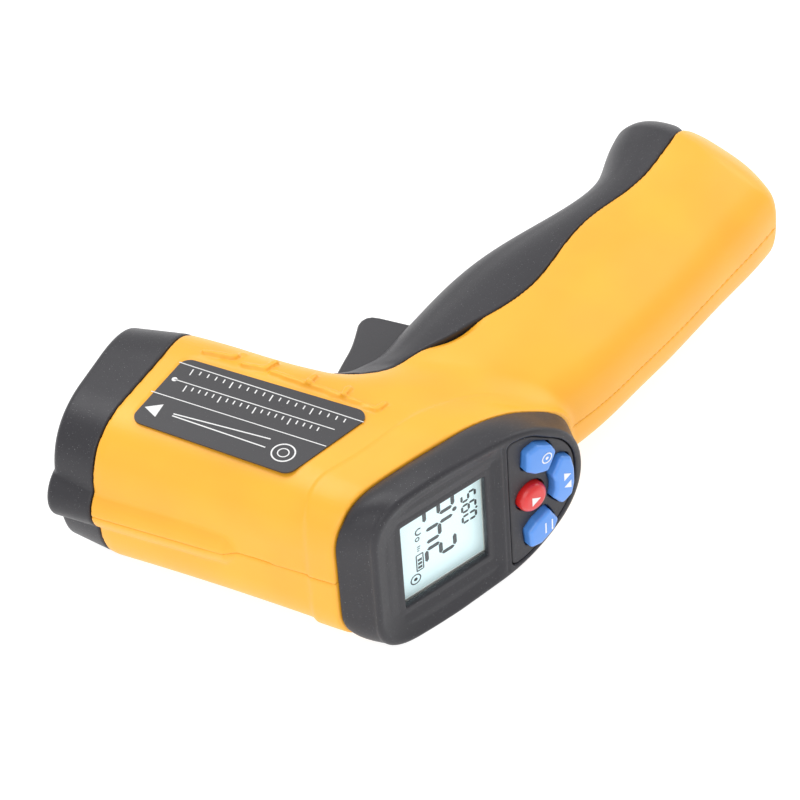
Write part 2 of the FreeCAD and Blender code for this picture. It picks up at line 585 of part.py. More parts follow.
def helix_spring(start, axis_turn, radius, wire, turns, length):
    """A round-wire coil whose axis leads along X from start."""
    pitch = (length - wire) / turns
    coil = Part.makeHelix(pitch, length - wire, radius)
    ring = Part.Wire(Part.Circle(Vector(radius, 0, 0), Vector(0, 1, 0), wire / 2).toShape())
    solid = Part.Wire(coil).makePipeShell([ring], True, True)
    solid.translate(Vector(0, 0, wire / 2))
    solid.rotate(Vector(0, 0, 0), Vector(*axis_turn[0]), axis_turn[1])
    solid.translate(Vector(*start))
    return solid


def trigger():
    lever = trigger_profile(0)
    nub = rod((56.6, SWITCH_Y, -3.0), (0, 0, 1), 1.2, 6.0)
    spring_pocket = rod((55.6, 62.5, 0), (1, 0, 0), 3.1, 8)
    lever = fuse(lever, nub).cut([rod((*PIVOT, -10), (0, 0, 1), PIN_RADIUS + RUNNING, 20), spring_pocket])
    hollow = [box((47.6, 54.6), (58.0, 70.0), sides) for sides in ((-2.9, -0.8), (0.8, 2.9))]
    lever = lever.cut(hollow)
    front = [e for e in lever.Edges if e.BoundBox.XMax < 46.0 and e.BoundBox.ZLength < 0.01
             and e.BoundBox.YLength > 5]
    emit("trigger", lever.makeFillet(1.4, front), 1)
    emit("trigger_pin", rod((*PIVOT, -11.9), (0, 0, 1), PIN_RADIUS, 23.8), 1)
    emit("trigger_spring", helix_spring((55.85, 62.5, 0), ((0, 1, 0), 90), 2.3, 0.6, 6, 10.1), 1)
    body = box((SWITCH_FACE, SWITCH_FACE + 6.2), (SWITCH_Y - 4.4, SWITCH_Y + 4.2), (-3.2, 3.2))
    body = body.cut([rod((SWITCH_FACE - 1, SWITCH_Y, 0), (1, 0, 0), 1.3 + RUNNING, 4.4),
                     box((SWITCH_FACE - 1, SWITCH_FACE + 3.9), (51.3, 54.7), (3.15, 9))])
    emit("trigger_switch", body, 1)
    emit("trigger_switch_plunger", rod((57.85, SWITCH_Y, 0), (1, 0, 0), 1.3, 4.0), 1)


# ---------------------------------------------------------------- batteries
BATTERY_LEAN = math.degrees(math.atan2(11.0, 46.0))
BATTERY_TOP = (72.9, 83.0)
CELL_RADIUS = 5.15
CELL_LENGTH = 43.5
CELL_Z = 5.45


def along_handle(shape):
    """Moves a shape from the tray's frame (Y down the handle, origin at its top) to the tool."""
    shape = shape.copy()
    shape.rotate(Vector(0, 0, 0), Z, -BATTERY_LEAN)
    shape.translate(Vector(*BATTERY_TOP, 0))
    return shape


def batteries():
    """Two AAA cells side by side, head to tail, in a tray with a spring and a plate for each."""
    tray = box((-1.0, 7.0), (-2.0, 51.5), (-11.9, 11.9))
    tray = tray.cut(box((-8, 5.6), (-0.4, 49.9), (-10.9, 10.9)))
    rib = box((3.4, 5.8), (-0.5, 50.0), (-0.4, 0.4))
    emit("battery_tray", along_handle(fuse(tray, rib)), 1)
    coils, plates = [], []
    for sign, name in ((1, "cell_right"), (-1, "cell_left")):
        z = sign * CELL_Z
        start = 5.4 if sign > 0 else 1.0
        nub_start = start + CELL_LENGTH if sign > 0 else start - 0.8
        cell = fuse(rod((0, start, z), (0, 1, 0), CELL_RADIUS, CELL_LENGTH),
                    rod((0, nub_start, z), (0, 1, 0), 1.9, 0.8))
        emit(name, along_handle(cell), 1)
        spring_start, plate = (-0.35, (49.72, 49.88)) if sign > 0 else (44.52, (-0.38, 0.18))
        coils.append(helix_spring((0, spring_start, z), ((1, 0, 0), -90), 2.9, 0.6, 4, 5.3))
        plates.append(box((-0.8, 5.0), plate, (z - 3.2, z + 3.2)))
    emit("battery_springs", along_handle(Part.makeCompound(coils)), 2)
    emit("battery_plates", along_handle(Part.makeCompound(plates)), 2)


def handle_point(x, y, z):
    """A point given in the tray's frame, in the tool frame."""
    lean = math.radians(-BATTERY_LEAN)
    return (BATTERY_TOP[0] + x * math.cos(lean) - y * math.sin(lean),
            BATTERY_TOP[1] + x * math.sin(lean) + y * math.cos(lean), z)


def tube_path(points, radius, rounding=0.45):
    """A wire bent through points: straight runs joined by tangent arcs."""
    vectors = [Vector(*p) for p in points]
    edges, last = [], vectors[0]
    for a, b, c in zip(vectors, vectors[1:], vectors[2:]):
        into, out = (b - a), (c - b)
        turn = into.getAngle(out)
        cut = rounding * min(into.Length, out.Length)
        start = b - into.normalize() * cut
        end = b + out.normalize() * cut
        r = cut / math.tan(turn / 2)
        middle = b + (out - into).normalize() * (r / math.cos(turn / 2) - r)
        edges += [Part.makeLine(last, start), Part.Arc(start, middle, end).toShape()]
        last = end
    edges.append(Part.makeLine(last, vectors[-1]))
    path = Part.Wire(edges)
    direction = vectors[1] - vectors[0]
    ring = Part.Wire(Part.Circle(vectors[0], direction, radius).toShape())
    return path.makePipeShell([ring], True, True)


def leads():
    """The two insulated wires from the battery tray up to the main board."""
    start = (2.6, -2.02)
    red = [handle_point(*start, 6.5), handle_point(2.6, -7.5, 6.6), (78.4, 69.6, 8.4), (82.2, 62.6, 7.6),
           (83.4, 54.4, 6.2), (86.8, 46.4, 5.2)]
    black = [handle_point(*start, -6.5), handle_point(2.6, -7.5, -6.8), (78.6, 69.0, -8.0), (82.0, 62.0, -7.0),
             (83.6, 54.0, -6.3), (86.8, 46.4, -5.2)]
    emit("lead_red", tube_path(red, 0.65), 1)
    emit("lead_black", tube_path(black, 0.65), 1)


def housing_screws():
    """Self-tapping screws driven from the left side through the bosses."""
    screws = []
    for x, y in SCREWS:
        head = rod((x, y, HEAD_Z), (0, 0, -1), HEAD_RADIUS, 1.5)
        head = head.cut([box((x - 1.3, x + 1.3), (y - 0.25, y + 0.25), (HEAD_Z - 2, HEAD_Z - 0.8)),
                         box((x - 0.25, x + 0.25), (y - 1.3, y + 1.3), (HEAD_Z - 2, HEAD_Z - 0.8))])
        screws.append(fuse(head, rod((x, y, HEAD_Z), (0, 0, 1), SCREW_RADIUS, 7.5 - HEAD_Z)))
    emit("housing_screws", Part.makeCompound(screws), len(screws))


def labels():
    for sign, name in ((1, "right_label"), (-1, "left_label")):
        emit(name, label(sign, 0.0, LABEL_FLOOR, LABEL_TOP), 1)


TOTAL = []


def emit(name, shape, solids):
    """Writes one node in the row frame and reports anything that is not the expected number of closed solids."""
    if shape.ShapeType == "Compound" and len(shape.Solids) == 1:
        shape = shape.Solids[0]
    shape = shape.copy()
    shape.translate(-ORIGIN)
    if not shape.isValid() or len(shape.Solids) != solids:
        print("CHECK", name, "valid", shape.isValid(), "solids", len(shape.Solids))
    TOTAL.append(shape.BoundBox)
    b = shape.BoundBox
    print(f"{name:24s} {shape.Volume:9.1f}  x {b.XMin:7.2f} {b.XMax:7.2f}"
          f"  y {b.YMin:7.2f} {b.YMax:7.2f}  z {b.ZMin:6.2f} {b.ZMax:6.2f}")
    shape.exportStep(f"parts/{name}.step")


for build in (shells, grip_cover, nose_cap, rear_bezel, button_panel, buttons, display, boards, optics, trigger,
              batteries, leads, housing_screws, labels):
    build()
print("whole tool x", min(b.XMin for b in TOTAL), max(b.XMax for b in TOTAL),
      "y", min(b.YMin for b in TOTAL), max(b.YMax for b in TOTAL),
      "z", min(b.ZMin for b in TOTAL), max(b.ZMax for b in TOTAL))
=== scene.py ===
"""Looks of the pistol-grip infrared thermometer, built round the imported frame.

The moulded pieces are surfaces of distance fields, worked out on a block of sample points in the tool frame,
in millimetres: X runs back from the nose, Y down to the butt of the handle and Z to the tool's right side.
"""
import json
import math

import bmesh
import bpy
import numpy as np
import openvdb
from mathutils import Matrix, Vector


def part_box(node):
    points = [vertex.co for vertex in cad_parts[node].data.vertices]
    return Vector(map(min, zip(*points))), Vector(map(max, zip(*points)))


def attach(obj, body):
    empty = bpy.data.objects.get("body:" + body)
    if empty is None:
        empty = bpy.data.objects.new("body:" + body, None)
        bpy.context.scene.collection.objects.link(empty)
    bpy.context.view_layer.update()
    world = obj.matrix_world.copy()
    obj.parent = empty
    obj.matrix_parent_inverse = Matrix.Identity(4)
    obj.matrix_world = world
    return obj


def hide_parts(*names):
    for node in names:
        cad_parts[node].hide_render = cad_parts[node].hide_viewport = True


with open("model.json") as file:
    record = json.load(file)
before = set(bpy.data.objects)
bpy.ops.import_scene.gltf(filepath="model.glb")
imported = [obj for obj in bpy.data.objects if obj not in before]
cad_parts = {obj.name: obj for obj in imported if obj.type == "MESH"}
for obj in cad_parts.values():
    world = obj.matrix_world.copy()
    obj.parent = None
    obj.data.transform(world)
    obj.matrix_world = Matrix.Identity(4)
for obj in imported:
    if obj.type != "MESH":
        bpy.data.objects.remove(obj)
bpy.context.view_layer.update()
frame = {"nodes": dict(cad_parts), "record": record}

# ---------------------------------------------------------------- driving dimensions, millimetres
BARREL_HALF = 20.2
UNDERSIDE_RISE = 1.4                          # how much the barrel's underside rises towards the trigger
THROAT_ROUNDING = 5.0                         # soft corner between barrel and handle
HANDLE_TOP = 38.0
FLOOR_DEPTH = 21.4                            # the bezel is cut flat here, where the tool lies on it
WALL = 2.2
FACE_X, FACE_Y = 75.67, -0.75                 # top of the rear face, the origin of its own frame
FACE_TILT = math.radians(26.9)
BEZEL_DEPTH = 7.5
NOSE_SEAM = (10.5, 15.5)                      # nose seam, X at the top and at the underside
NOSE_BACK = 13.0
SENSOR_Y = 22.0
POD_RADIUS, POD_CREST = 6.6, 2.1
LASER_Y = POD_RADIUS - POD_CREST
PIVOT = (51.0, 41.0)
HINGE = (85.2, 148.9)
HINGE_PIN_RADIUS, HINGE_PIN_HALF = 0.97, 9.2
LENS_TUBE_SEAT, LASER_SEAT, BEAM_HOLE = 9.05, 3.05, 1.6             # radii in the nose
SCREWS = [(24.0, 38.5), (60.0, 7.5), (93.5, 74.0), (103.0, 130.0)]
SEAM_GAP = 0.22                               # dark line between neighbouring mouldings
EDGE = 0.3                                    # rounding of a moulded edge
FINE = 1.0

PIN_LOW, PIN_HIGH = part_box("trigger_pin")
PIN_CENTRE = (PIN_LOW + PIN_HIGH) * 500
ORIGIN = Vector((*PIVOT, 0)) - PIN_CENTRE     # the row frame's origin in the tool frame


# ---------------------------------------------------------------- field arithmetic
def round_and(a, b, r):
    """Both regions at once, with a rounding of radius r on the edge where they cross."""
    return np.minimum(np.maximum(a, b), -r) + np.hypot(np.maximum(a + r, 0), np.maximum(b + r, 0))


def round_or(a, b, r):
    """Either region, with a fillet of radius r where they meet."""
    return -round_and(-a, -b, r)


def soft_and(a, b, k):
    """Both regions at once, blended over a width k, for corners of any angle."""
    k = np.maximum(k, 0.01)
    return np.maximum(a, b) + np.maximum(k - np.abs(a - b), 0) ** 2 / (4 * k)


def ramp(value, low, high):
    """Goes smoothly from 0 to 1 as value goes from low to high."""
    t = np.clip((value - low) / (high - low), 0, 1)
    return t * t * (3 - 2 * t)


def mix(a, b, share):
    """From a at share 0 to b at share 1, in a straight line."""
    return a + (b - a) * share


def outline_field(corners, along, across):
    """Distance to a symmetric outline. corners run (along, half width, rounding), from top to bottom."""
    across = np.abs(across)
    field = corners[0][0] - along
    before = (0.0, 1.0)
    for i, (a0, w0, rounding) in enumerate(corners):
        if i + 1 < len(corners):
            da, dw = corners[i + 1][0] - a0, corners[i + 1][1] - w0
            length = np.hypot(da, dw)
            after = (da / length, dw / length)
        else:
            after = (0.0, -1.0)
        side = (across - w0) * after[0] - (along - a0) * after[1]
        turn = np.abs(before[0] * after[1] - before[1] * after[0])
        field = soft_and(field, side, 1.15 * rounding * turn)
        before = after
    return field


def spline(knots, values, x):
    """A natural cubic spline through values at knots, read at x."""
    knots, values, x = (np.asarray(v, float) for v in (knots, values, x))
    h, n = np.diff(knots), len(knots)
    matrix, right = np.eye(n), np.zeros(n)
    slope = np.diff(values) / h
    for i in range(1, n - 1):
        matrix[i, i - 1:i + 2] = h[i - 1], 2 * (h[i - 1] + h[i]), h[i]
        right[i] = 6 * (slope[i] - slope[i - 1])
    bend = np.linalg.solve(matrix, right)
    i = np.clip(np.searchsorted(knots, x) - 1, 0, n - 2)
    left, past, span = knots[i + 1] - x, x - knots[i], h[i]
    return ((bend[i] * left ** 3 + bend[i + 1] * past ** 3) / (6 * span)
            + (values[i] / span - bend[i] * span / 6) * left
            + (values[i + 1] / span - bend[i + 1] * span / 6) * past)


def smooth_line(points, steps=8):
    """Many points along a smooth curve through a few, run on straight past both ends."""
    points = np.array(points, float)
    at = np.concatenate([[0], np.cumsum(np.hypot(*np.diff(points, axis=0).T))])
    fine = np.interp(np.linspace(0, len(points) - 1, (len(points) - 1) * steps + 1), range(len(points)), at)
    line = np.stack([spline(at, points[:, i], fine) for i in (0, 1)], axis=1)
    reach = 60.0
    head = line[0] + (line[0] - line[1]) / np.hypot(*(line[0] - line[1])) * reach
    tail = line[-1] + (line[-1] - line[-2]) / np.hypot(*(line[-1] - line[-2])) * reach
    return np.vstack([head, line, tail])


def line_field(line, x, y):
    """Signed distance from a line in the XY plane, positive on its left as Y runs down."""
    best = np.full(np.broadcast(x, y).shape, 1e9, np.float32)
    sign = np.ones_like(best)
    for (ax, ay), (bx, by) in zip(line, line[1:]):
        dx, dy = bx - ax, by - ay
        t = np.clip(((x - ax) * dx + (y - ay) * dy) / (dx * dx + dy * dy), 0, 1)
        gap = np.hypot(x - ax - t * dx, y - ay - t * dy)
        near = gap < best
        best = np.where(near, gap, best)
        sign = np.where(near, np.sign(dx * (y - ay) - dy * (x - ax)), sign)
    return best * sign


def polygon_field(points, x, y):
    """Signed distance to a closed outline, in the XY plane."""
    best = np.full(np.broadcast(x, y).shape, 1e9, np.float32)
    inside = np.zeros(best.shape, bool)
    for (ax, ay), (bx, by) in zip(points, points[1:] + points[:1]):
        dx, dy = bx - ax, by - ay
        t = np.clip(((x - ax) * dx + (y - ay) * dy) / (dx * dx + dy * dy), 0, 1)
        best = np.minimum(best, np.hypot(x - ax - t * dx, y - ay - t * dy))
        crosses = ((ay <= y) & (by > y)) | ((by <= y) & (ay > y))
        inside ^= crosses & (x < ax + (y - ay) / (dy if dy else 1e-9) * dx)
    return np.where(inside, -best, best)


def trace_field(points, x, y):
    """Distance to an open chain of straight strokes."""
    best = np.full(np.broadcast(x, y).shape, 1e9, np.float32)
    for (ax, ay), (bx, by) in zip(points, points[1:]):
        dx, dy = bx - ax, by - ay
        t = np.clip(((x - ax) * dx + (y - ay) * dy) / (dx * dx + dy * dy), 0, 1)
        best = np.minimum(best, np.hypot(x - ax - t * dx, y - ay - t * dy))
    return best


class Block:
    """A block of sample points, as three arrays that broadcast together."""

    def __init__(self, low, high, step):
        self.low, self.step = np.array(low, float), step * FINE
        x, y, z = (np.arange(a, b + self.step, self.step, dtype=np.float32) for a, b in zip(low, high))
        self.x, self.y, self.z = x[:, None, None], y[None, :, None], z[None, None, :]


def to_row(points):
    """Tool frame in millimetres to the row frame in metres."""
    return (points - np.array(ORIGIN)) / 1000


def from_face(points):
    """The rear face's own frame (down the face, across, out of it) to the tool frame."""
    t, z, out = points.T
    s, c = math.sin(FACE_TILT), math.cos(FACE_TILT)
    return np.stack([FACE_X + t * s + out * c, FACE_Y + t * c - out * s, z], axis=1)


def mesh_object(name, points, faces):
    """A smooth-shaded object in the scene, from points in the row frame."""
    mesh = bpy.data.meshes.new(name)
    mesh.from_pydata([tuple(p) for p in points], [], [tuple(f) for f in faces])
    mesh.validate()
    mesh.shade_smooth()
    piece = bpy.data.objects.new(name, mesh)
    bpy.context.scene.collection.objects.link(piece)
    return piece


def field_piece(name, field, block, place=None, mirrored=False):
    """A mesh of the surface where a field is zero, in the row frame. mirrored puts it on the left side."""
    band = 3 * block.step
    grid = openvdb.FloatGrid(band)
    grid.copyFromArray(np.clip(field, -band, band).astype(np.float32))
    points, triangles, quads = grid.convertToPolygons(isovalue=0.0, adaptivity=0.0)
    points = points.astype(float) * block.step + block.low
    if place:
        points = place(points)
    if mirrored:
        points = points * (1, 1, -1)
    faces = [list(f) for f in triangles] + [list(f) for f in quads]
    corner = points[np.array([f[:3] for f in faces])]
    volume = np.einsum("ij,ij->i", corner[:, 0], np.cross(corner[:, 1], corner[:, 2])).sum()
    if volume < 0:
        faces = [f[::-1] for f in faces]
    return mesh_object(name, to_row(points), faces)


# ---------------------------------------------------------------- the tool's outer shape
def barrel_field(x, y, z):
    """The barrel: straight at the nose, turning parallel to the tilted rear face."""
    x_end = FACE_X - BEZEL_DEPTH * math.cos(FACE_TILT)
    y_end = FACE_Y + BEZEL_DEPTH * math.sin(FACE_TILT)
    low, high = np.zeros(np.broadcast(x, y).shape), np.full(np.broadcast(x, y).shape, 1.25)
    for _ in range(22):
        share = (low + high) / 2
        tilt = FACE_TILT * share ** 2
        past = (x - mix(NOSE_BACK, x_end, share)) * np.cos(tilt) - (y - y_end * share ** 2) * np.sin(tilt)
        low, high = np.where(past > 0, share, low), np.where(past > 0, high, share)
    bend = share ** 2
    drop = bend * ramp(share, 0.5, 0.85)      # the underside stays level in front of the trigger
    rise = UNDERSIDE_RISE * ramp(x, 18.0, 42.0)
    tilt = FACE_TILT * bend
    along = (x - mix(NOSE_BACK, x_end, share)) * np.sin(tilt) + (y - y_end * bend) * np.cos(tilt)
    taper = np.clip((NOSE_BACK - x) / NOSE_BACK, 0, 1)
    half = BARREL_HALF - 1.0 * taper
    corners = [(mix(1.6 * taper, -4.0, bend), mix(half, 19.4, bend), mix(13.2, 10.5, bend)),
               (mix(22.0, 39.0, bend), mix(half, 19.4, bend), mix(3.0, 9.0, bend)),
               (mix(45.6 - 1.6 * taper - rise, 60.0, drop), mix(half, 9.0, drop), mix(14.5, 7.8, bend))]
    corners = [tuple(v.astype(np.float32) for v in corner) for corner in corners]
    return outline_field(corners, along.astype(np.float32), z)


HANDLE_SECTIONS = [                           # Y, front X, back X, half width
    (36.0, 44.0, 84.0, 14.0), (46.0, 44.0, 88.5, 15.0), (50.0, 46.4, 90.8, 15.3), (54.0, 49.2, 93.0, 15.6),
    (62.0, 51.3, 96.6, 15.8), (71.0, 52.7, 99.8, 15.8), (82.0, 54.7, 102.7, 15.6), (94.0, 58.3, 105.8, 15.4),
    (106.0, 64.0, 108.4, 15.2), (118.0, 70.2, 110.9, 15.4), (128.0, 73.0, 113.0, 16.0),
    (138.0, 71.9, 114.5, 16.6), (148.0, 71.8, 115.6, 16.8), (156.0, 73.0, 116.4, 16.8)]
BUTT_LINE = [(61, 142), (67.0, 143.8), (71.3, 146.7), (75.4, 149.4), (80.4, 150.8), (85.5, 150.9),
             (91.0, 149.9), (97.8, 147.8), (105.2, 144.9), (112.2, 139.4), (119.6, 132.0)]
BUTT_FLAT, BUTT_CROWN = 6.0, 0.08             # flat this far off the middle plane, then rounding away
HEEL_CROWN = 0.012                            # the heel, at the back, is rounded all the way across
GRIP_LINE = [(47.0, 41.0), (53.5, 43.2), (57.9, 46.9), (60.2, 51.8), (62.9, 56.5), (66.3, 60.9), (69.7, 66.8),
             (72.4, 71.5), (75.1, 77.3), (77.2, 85.0), (78.1, 94.0), (78.8, 103.0), (80.4, 110.0),
             (84.2, 119.0), (86.5, 126.0), (87.6, 133.0), (88.4, 141.0), (88.7, 153.0)]


def handle_field(x, y, z, butt_rounding=1.6):
    """The handle, between its front and back curves, cut off by the curved butt."""
    level = np.clip(y.ravel(), HANDLE_SECTIONS[0][0], HANDLE_SECTIONS[-1][0])
    knots = [section[0] for section in HANDLE_SECTIONS]
    columns = [[section[i] for section in HANDLE_SECTIONS] for i in (1, 2, 3)]
    front, back, half = (spline(knots, column, level).astype(np.float32)[None, :, None] for column in columns)
    depth = back - front
    corners = [(front, 0.62 * half, 6.0), (front + 0.30 * depth, half, 5.0),
               (front + 0.66 * depth, half, 5.0), (back, 0.60 * half, 6.5)]
    body = outline_field(corners, x, z)
    body = soft_and(body, HANDLE_TOP - y, 1.0)
    crown = BUTT_CROWN * np.maximum(np.abs(z) - BUTT_FLAT, 0) ** 2
    crown = crown + HEEL_CROWN * z ** 2 * ramp(x, 92.0, 108.0)
    return round_and(body, line_field(smooth_line(BUTT_LINE), x, y) + crown, butt_rounding)


def pod_field(x, y, z):
    """The bulge over the laser, pointed at its back end."""
    radius = np.interp(x, [0, 36, 41.5, 45.2, 47.0, 60], [6.6, 6.6, 6.4, 4.4, 2.0, -8.0])
    return np.hypot(y - LASER_Y, z) - radius.astype(np.float32)


def body_field(barrel, handle):
    """Barrel and handle as one shape, with a soft corner where they meet."""
    return round_or(barrel, handle, THROAT_ROUNDING)


def nose_side(x, y):
    """Distance behind the nose seam."""
    top, low = NOSE_SEAM
    slope = (low - top) / 46.0
    bow = 0.9 * np.exp(-((y - 38.5) / 5.5) ** 2) - 0.9 * ramp(y, 42.0, 46.0)
    return (x - top - slope * y + bow) / math.hypot(1, slope)


def seam_depth(t):
    """How deep the bezel's parting line lies below the rear face. It bows away from the face half way."""
    return 7.3 + 1.9 * np.clip(1 - ((t - 27.0) / 28.0) ** 4, 0, 1)


def face_side(x, y):
    """Distance behind the bezel's parting line, positive on the bezel's side."""
    out = (x - FACE_X) * math.cos(FACE_TILT) - (y - FACE_Y) * math.sin(FACE_TILT)
    down = (x - FACE_X) * math.sin(FACE_TILT) + (y - FACE_Y) * math.cos(FACE_TILT)
    return out + seam_depth(down)


def cover_region(x, y, barrel):
    """Negative where the black grip cover goes: in front of its parting line and outside the barrel."""
    room = np.maximum(barrel - 0.3, x - 57.5)
    return np.maximum(-line_field(smooth_line(GRIP_LINE), x, y), -room)


# ---------------------------------------------------------------- trigger
TRIGGER_HALF = 4.3
SPRING_Y, POCKET_RADIUS, POCKET_FLOOR = 62.5, 3.5, 55.15            # the spring's pocket behind the trigger
TRIGGER_TURN = 7.0
TRIGGER_FRONT = [(44.2, 42.0), (43.0, 50.0), (42.4, 56.5), (42.1, 61.5), (41.1, 66.5)]
TRIGGER_BACK = [(40.5, 68.9), (40.6, 70.4), (41.3, 71.7), (42.5, 72.5), (44.3, 72.8), (55.6, 73.2),
                (57.4, 70.6), (57.0, 52.0), (55.6, 44.0), (55.6, 38.0), (46.4, 38.0)]


def trigger_outline(x, y):
    """Distance to the trigger's outline, seen from the side."""
    front = [tuple(p) for p in smooth_line(TRIGGER_FRONT)[1:-1]]
    return polygon_field(front + TRIGGER_BACK, x, y)


def trigger_room(x, y, z):
    """What the trigger sweeps from rest to fully squeezed, with room round it."""
    room = None
    for share in (0.0, 0.5, 1.0):
        angle = math.radians(TRIGGER_TURN * share)
        dx, dy = x - PIVOT[0], y - PIVOT[1]
        back_x = PIVOT[0] + dx * math.cos(angle) - dy * math.sin(angle)
        back_y = PIVOT[1] + dx * math.sin(angle) + dy * math.cos(angle)
        field = trigger_outline(back_x, back_y)
        room = field if room is None else np.minimum(room, field)
    return np.maximum(room - 0.7, np.abs(z) - TRIGGER_HALF - 0.7)


def trigger():
    """The trigger with the nub that pushes its switch, its pin's bore and its spring's pocket."""
    block = Block((39.2, 36.5, -5.2), (58.8, 74.0, 5.2), 0.25)
    x, y, z = block.x, block.y, block.z
    field = round_and(trigger_outline(x, y) + 0.02, np.abs(z) - TRIGGER_HALF, 1.3)
    nub = np.maximum(np.hypot(x - 56.6, y - 53.0) - 1.2, np.abs(z) - 3.0)
    field = np.minimum(field, nub)
    bore = np.hypot(x - PIVOT[0], y - PIVOT[1]) - 1.6
    pocket = np.maximum(np.hypot(y - SPRING_Y, z) - POCKET_RADIUS, POCKET_FLOOR - x)
    field = np.maximum(field, -np.minimum(bore, pocket))
    piece = field_piece("trigger_skin", field, block)
    finish_piece(piece, "trigger", "black_trigger", ["trigger"])


# ---------------------------------------------------------------- yellow shells
LABEL = [(16.0, 9.6), (54.2, 7.0), (63.4, 29.6), (18.6, 30.8)]
LABEL_ROUNDING = 2.88
STEP_LINE = [(62.3, -4.0), (60.6, 1.0), (60.0, 4.7), (61.1, 9.7), (64.1, 15.5), (68.5, 26.0), (71.7, 34.2),
             (75.5, 41.1), (79.9, 47.0), (84.2, 50.3)]
RIDGES = [[(21.6, 34.0), (28.2, 35.0), (29.0, 37.8)], [(31.2, 33.4), (36.0, 34.0), (36.8, 37.4)],
          [(38.0, 33.5), (46.4, 32.7), (46.7, 36.0)], [(46.8, 32.8), (54.8, 32.2), (55.1, 35.2)],
          [(55.3, 32.0), (63.0, 31.3), (63.9, 33.8)]]


def nail_notch(x, y, z):
    """The shallow scoop along the cover's parting line, where a fingernail opens the battery door."""
    along = ((x - 66.4) * 0.55 + (y - 62.4) * 0.835) / 7.0
    across = ((x - 66.4) * 0.835 - (y - 62.4) * 0.55) / 2.6
    return (np.sqrt(along ** 2 + across ** 2 + ((z - 16.4) / 2.4) ** 2) - 1) * 2.2


def drawn_in(points, distance):
    """An outline with each corner moved towards its middle."""
    middle = np.mean(points, axis=0)
    return [tuple(np.array(p) + (middle - p) / np.hypot(*(middle - p)) * distance) for p in points]


def label_field(x, y):
    """Distance to the label's outline, with its rounded corners."""
    return polygon_field(drawn_in(LABEL, 3.24), x, y) - LABEL_ROUNDING


def shells():
    """Both yellow halves, worked out for Z above 0: the left one is the mirror image, with screw wells."""
    block = Block((7.0, -4.4, -0.8), (117.0, 154.0, 22.4), 0.42)
    x, y, z = block.x, block.y, block.z
    barrel = barrel_field(x, y, z)
    handle = handle_field(x, y, z)
    behind_step = line_field(smooth_line(STEP_LINE), x, y)
    fade = ramp(x, 58.0, 61.0) * (1 - ramp(y, 44.0, 51.0))
    barrel -= 0.5 * ramp(-behind_step, -0.9, 0.5) * fade * (1 - ramp(-behind_step, 5.0, 16.0))
    outer = body_field(barrel, handle)
    outer = round_or(outer, pod_field(x, y, z), 0.35)
    for ridge in RIDGES:
        bar = round_and(trace_field(ridge, x, y) - 0.7, outer - 0.75, 0.25)
        outer = round_or(outer, np.maximum(bar, 9.0 - z), 0.2)
    outer = round_and(outer, -nail_notch(x, y, z), 0.9)
    inner = np.minimum(np.minimum(barrel, handle) + WALL, pod_field(x, y, z) + WALL - 0.6)
    cover = cover_region(x, y, barrel)
    body = round_and(outer, -cover, EDGE + 2.0 * ramp(y, 143.0, 149.0))
    body = round_and(body, SEAM_GAP / 2 - nose_side(x, y), EDGE)
    body = round_and(body, face_side(x, y) + SEAM_GAP / 2, EDGE)
    body = round_and(body, 0.02 - z, 0.06)
    body = np.maximum(body, -inner)
    rib = np.maximum(np.abs(line_field(np.array([(82.0, 70.0), (98.2, 138.0)]), x, y)) - 0.8,
                     np.maximum(76.0 - y, y - 134.5))
    inside = outer + 1.0
    body = np.minimum(body, np.maximum(np.maximum(rib, inside), -cover))
    for px, py in SCREWS:
        body = np.minimum(body, np.maximum(np.maximum(np.hypot(x - px, y - py) - 3.0, inside), 0.02 - z))
    ear = np.hypot(x - HINGE[0], y - HINGE[1]) - 2.0
    web = polygon_field([(84.7, 147.0), (100.0, 136.0), (100.0, 144.6), (92.0, 147.9), (86.2, 150.6)], x, y)
    lug = np.maximum(np.minimum(ear, web), np.abs(z - 5.6) - 1.6)
    knuckle_room = np.maximum(np.hypot(x - HINGE[0], y - HINGE[1]) - 2.8, 7.3 - z)
    body = np.minimum(np.maximum(body, -knuckle_room), lug)
    body = np.maximum(body, -(np.hypot(x - HINGE[0], y - HINGE[1]) - 1.06))
    body = np.maximum(body, -trigger_room(x, y, z))
    body = np.maximum(body, -np.maximum(label_field(x, y) - 0.25, BARREL_HALF - 0.35 - z))
    finish_piece(field_piece("right_shell_skin", body, block), "housing", "yellow_shell", ["right_shell"])
    for px, py in SCREWS:
        well = np.minimum(np.hypot(x - px, y - py) - 1.25,
                          np.maximum(np.hypot(x - px, y - py) - 2.2, 8.0 - z))
        body = round_and(body, -well, 0.3)
    piece = field_piece("left_shell_skin", body, block, mirrored=True)
    finish_piece(piece, "housing", "yellow_shell", ["left_shell"])


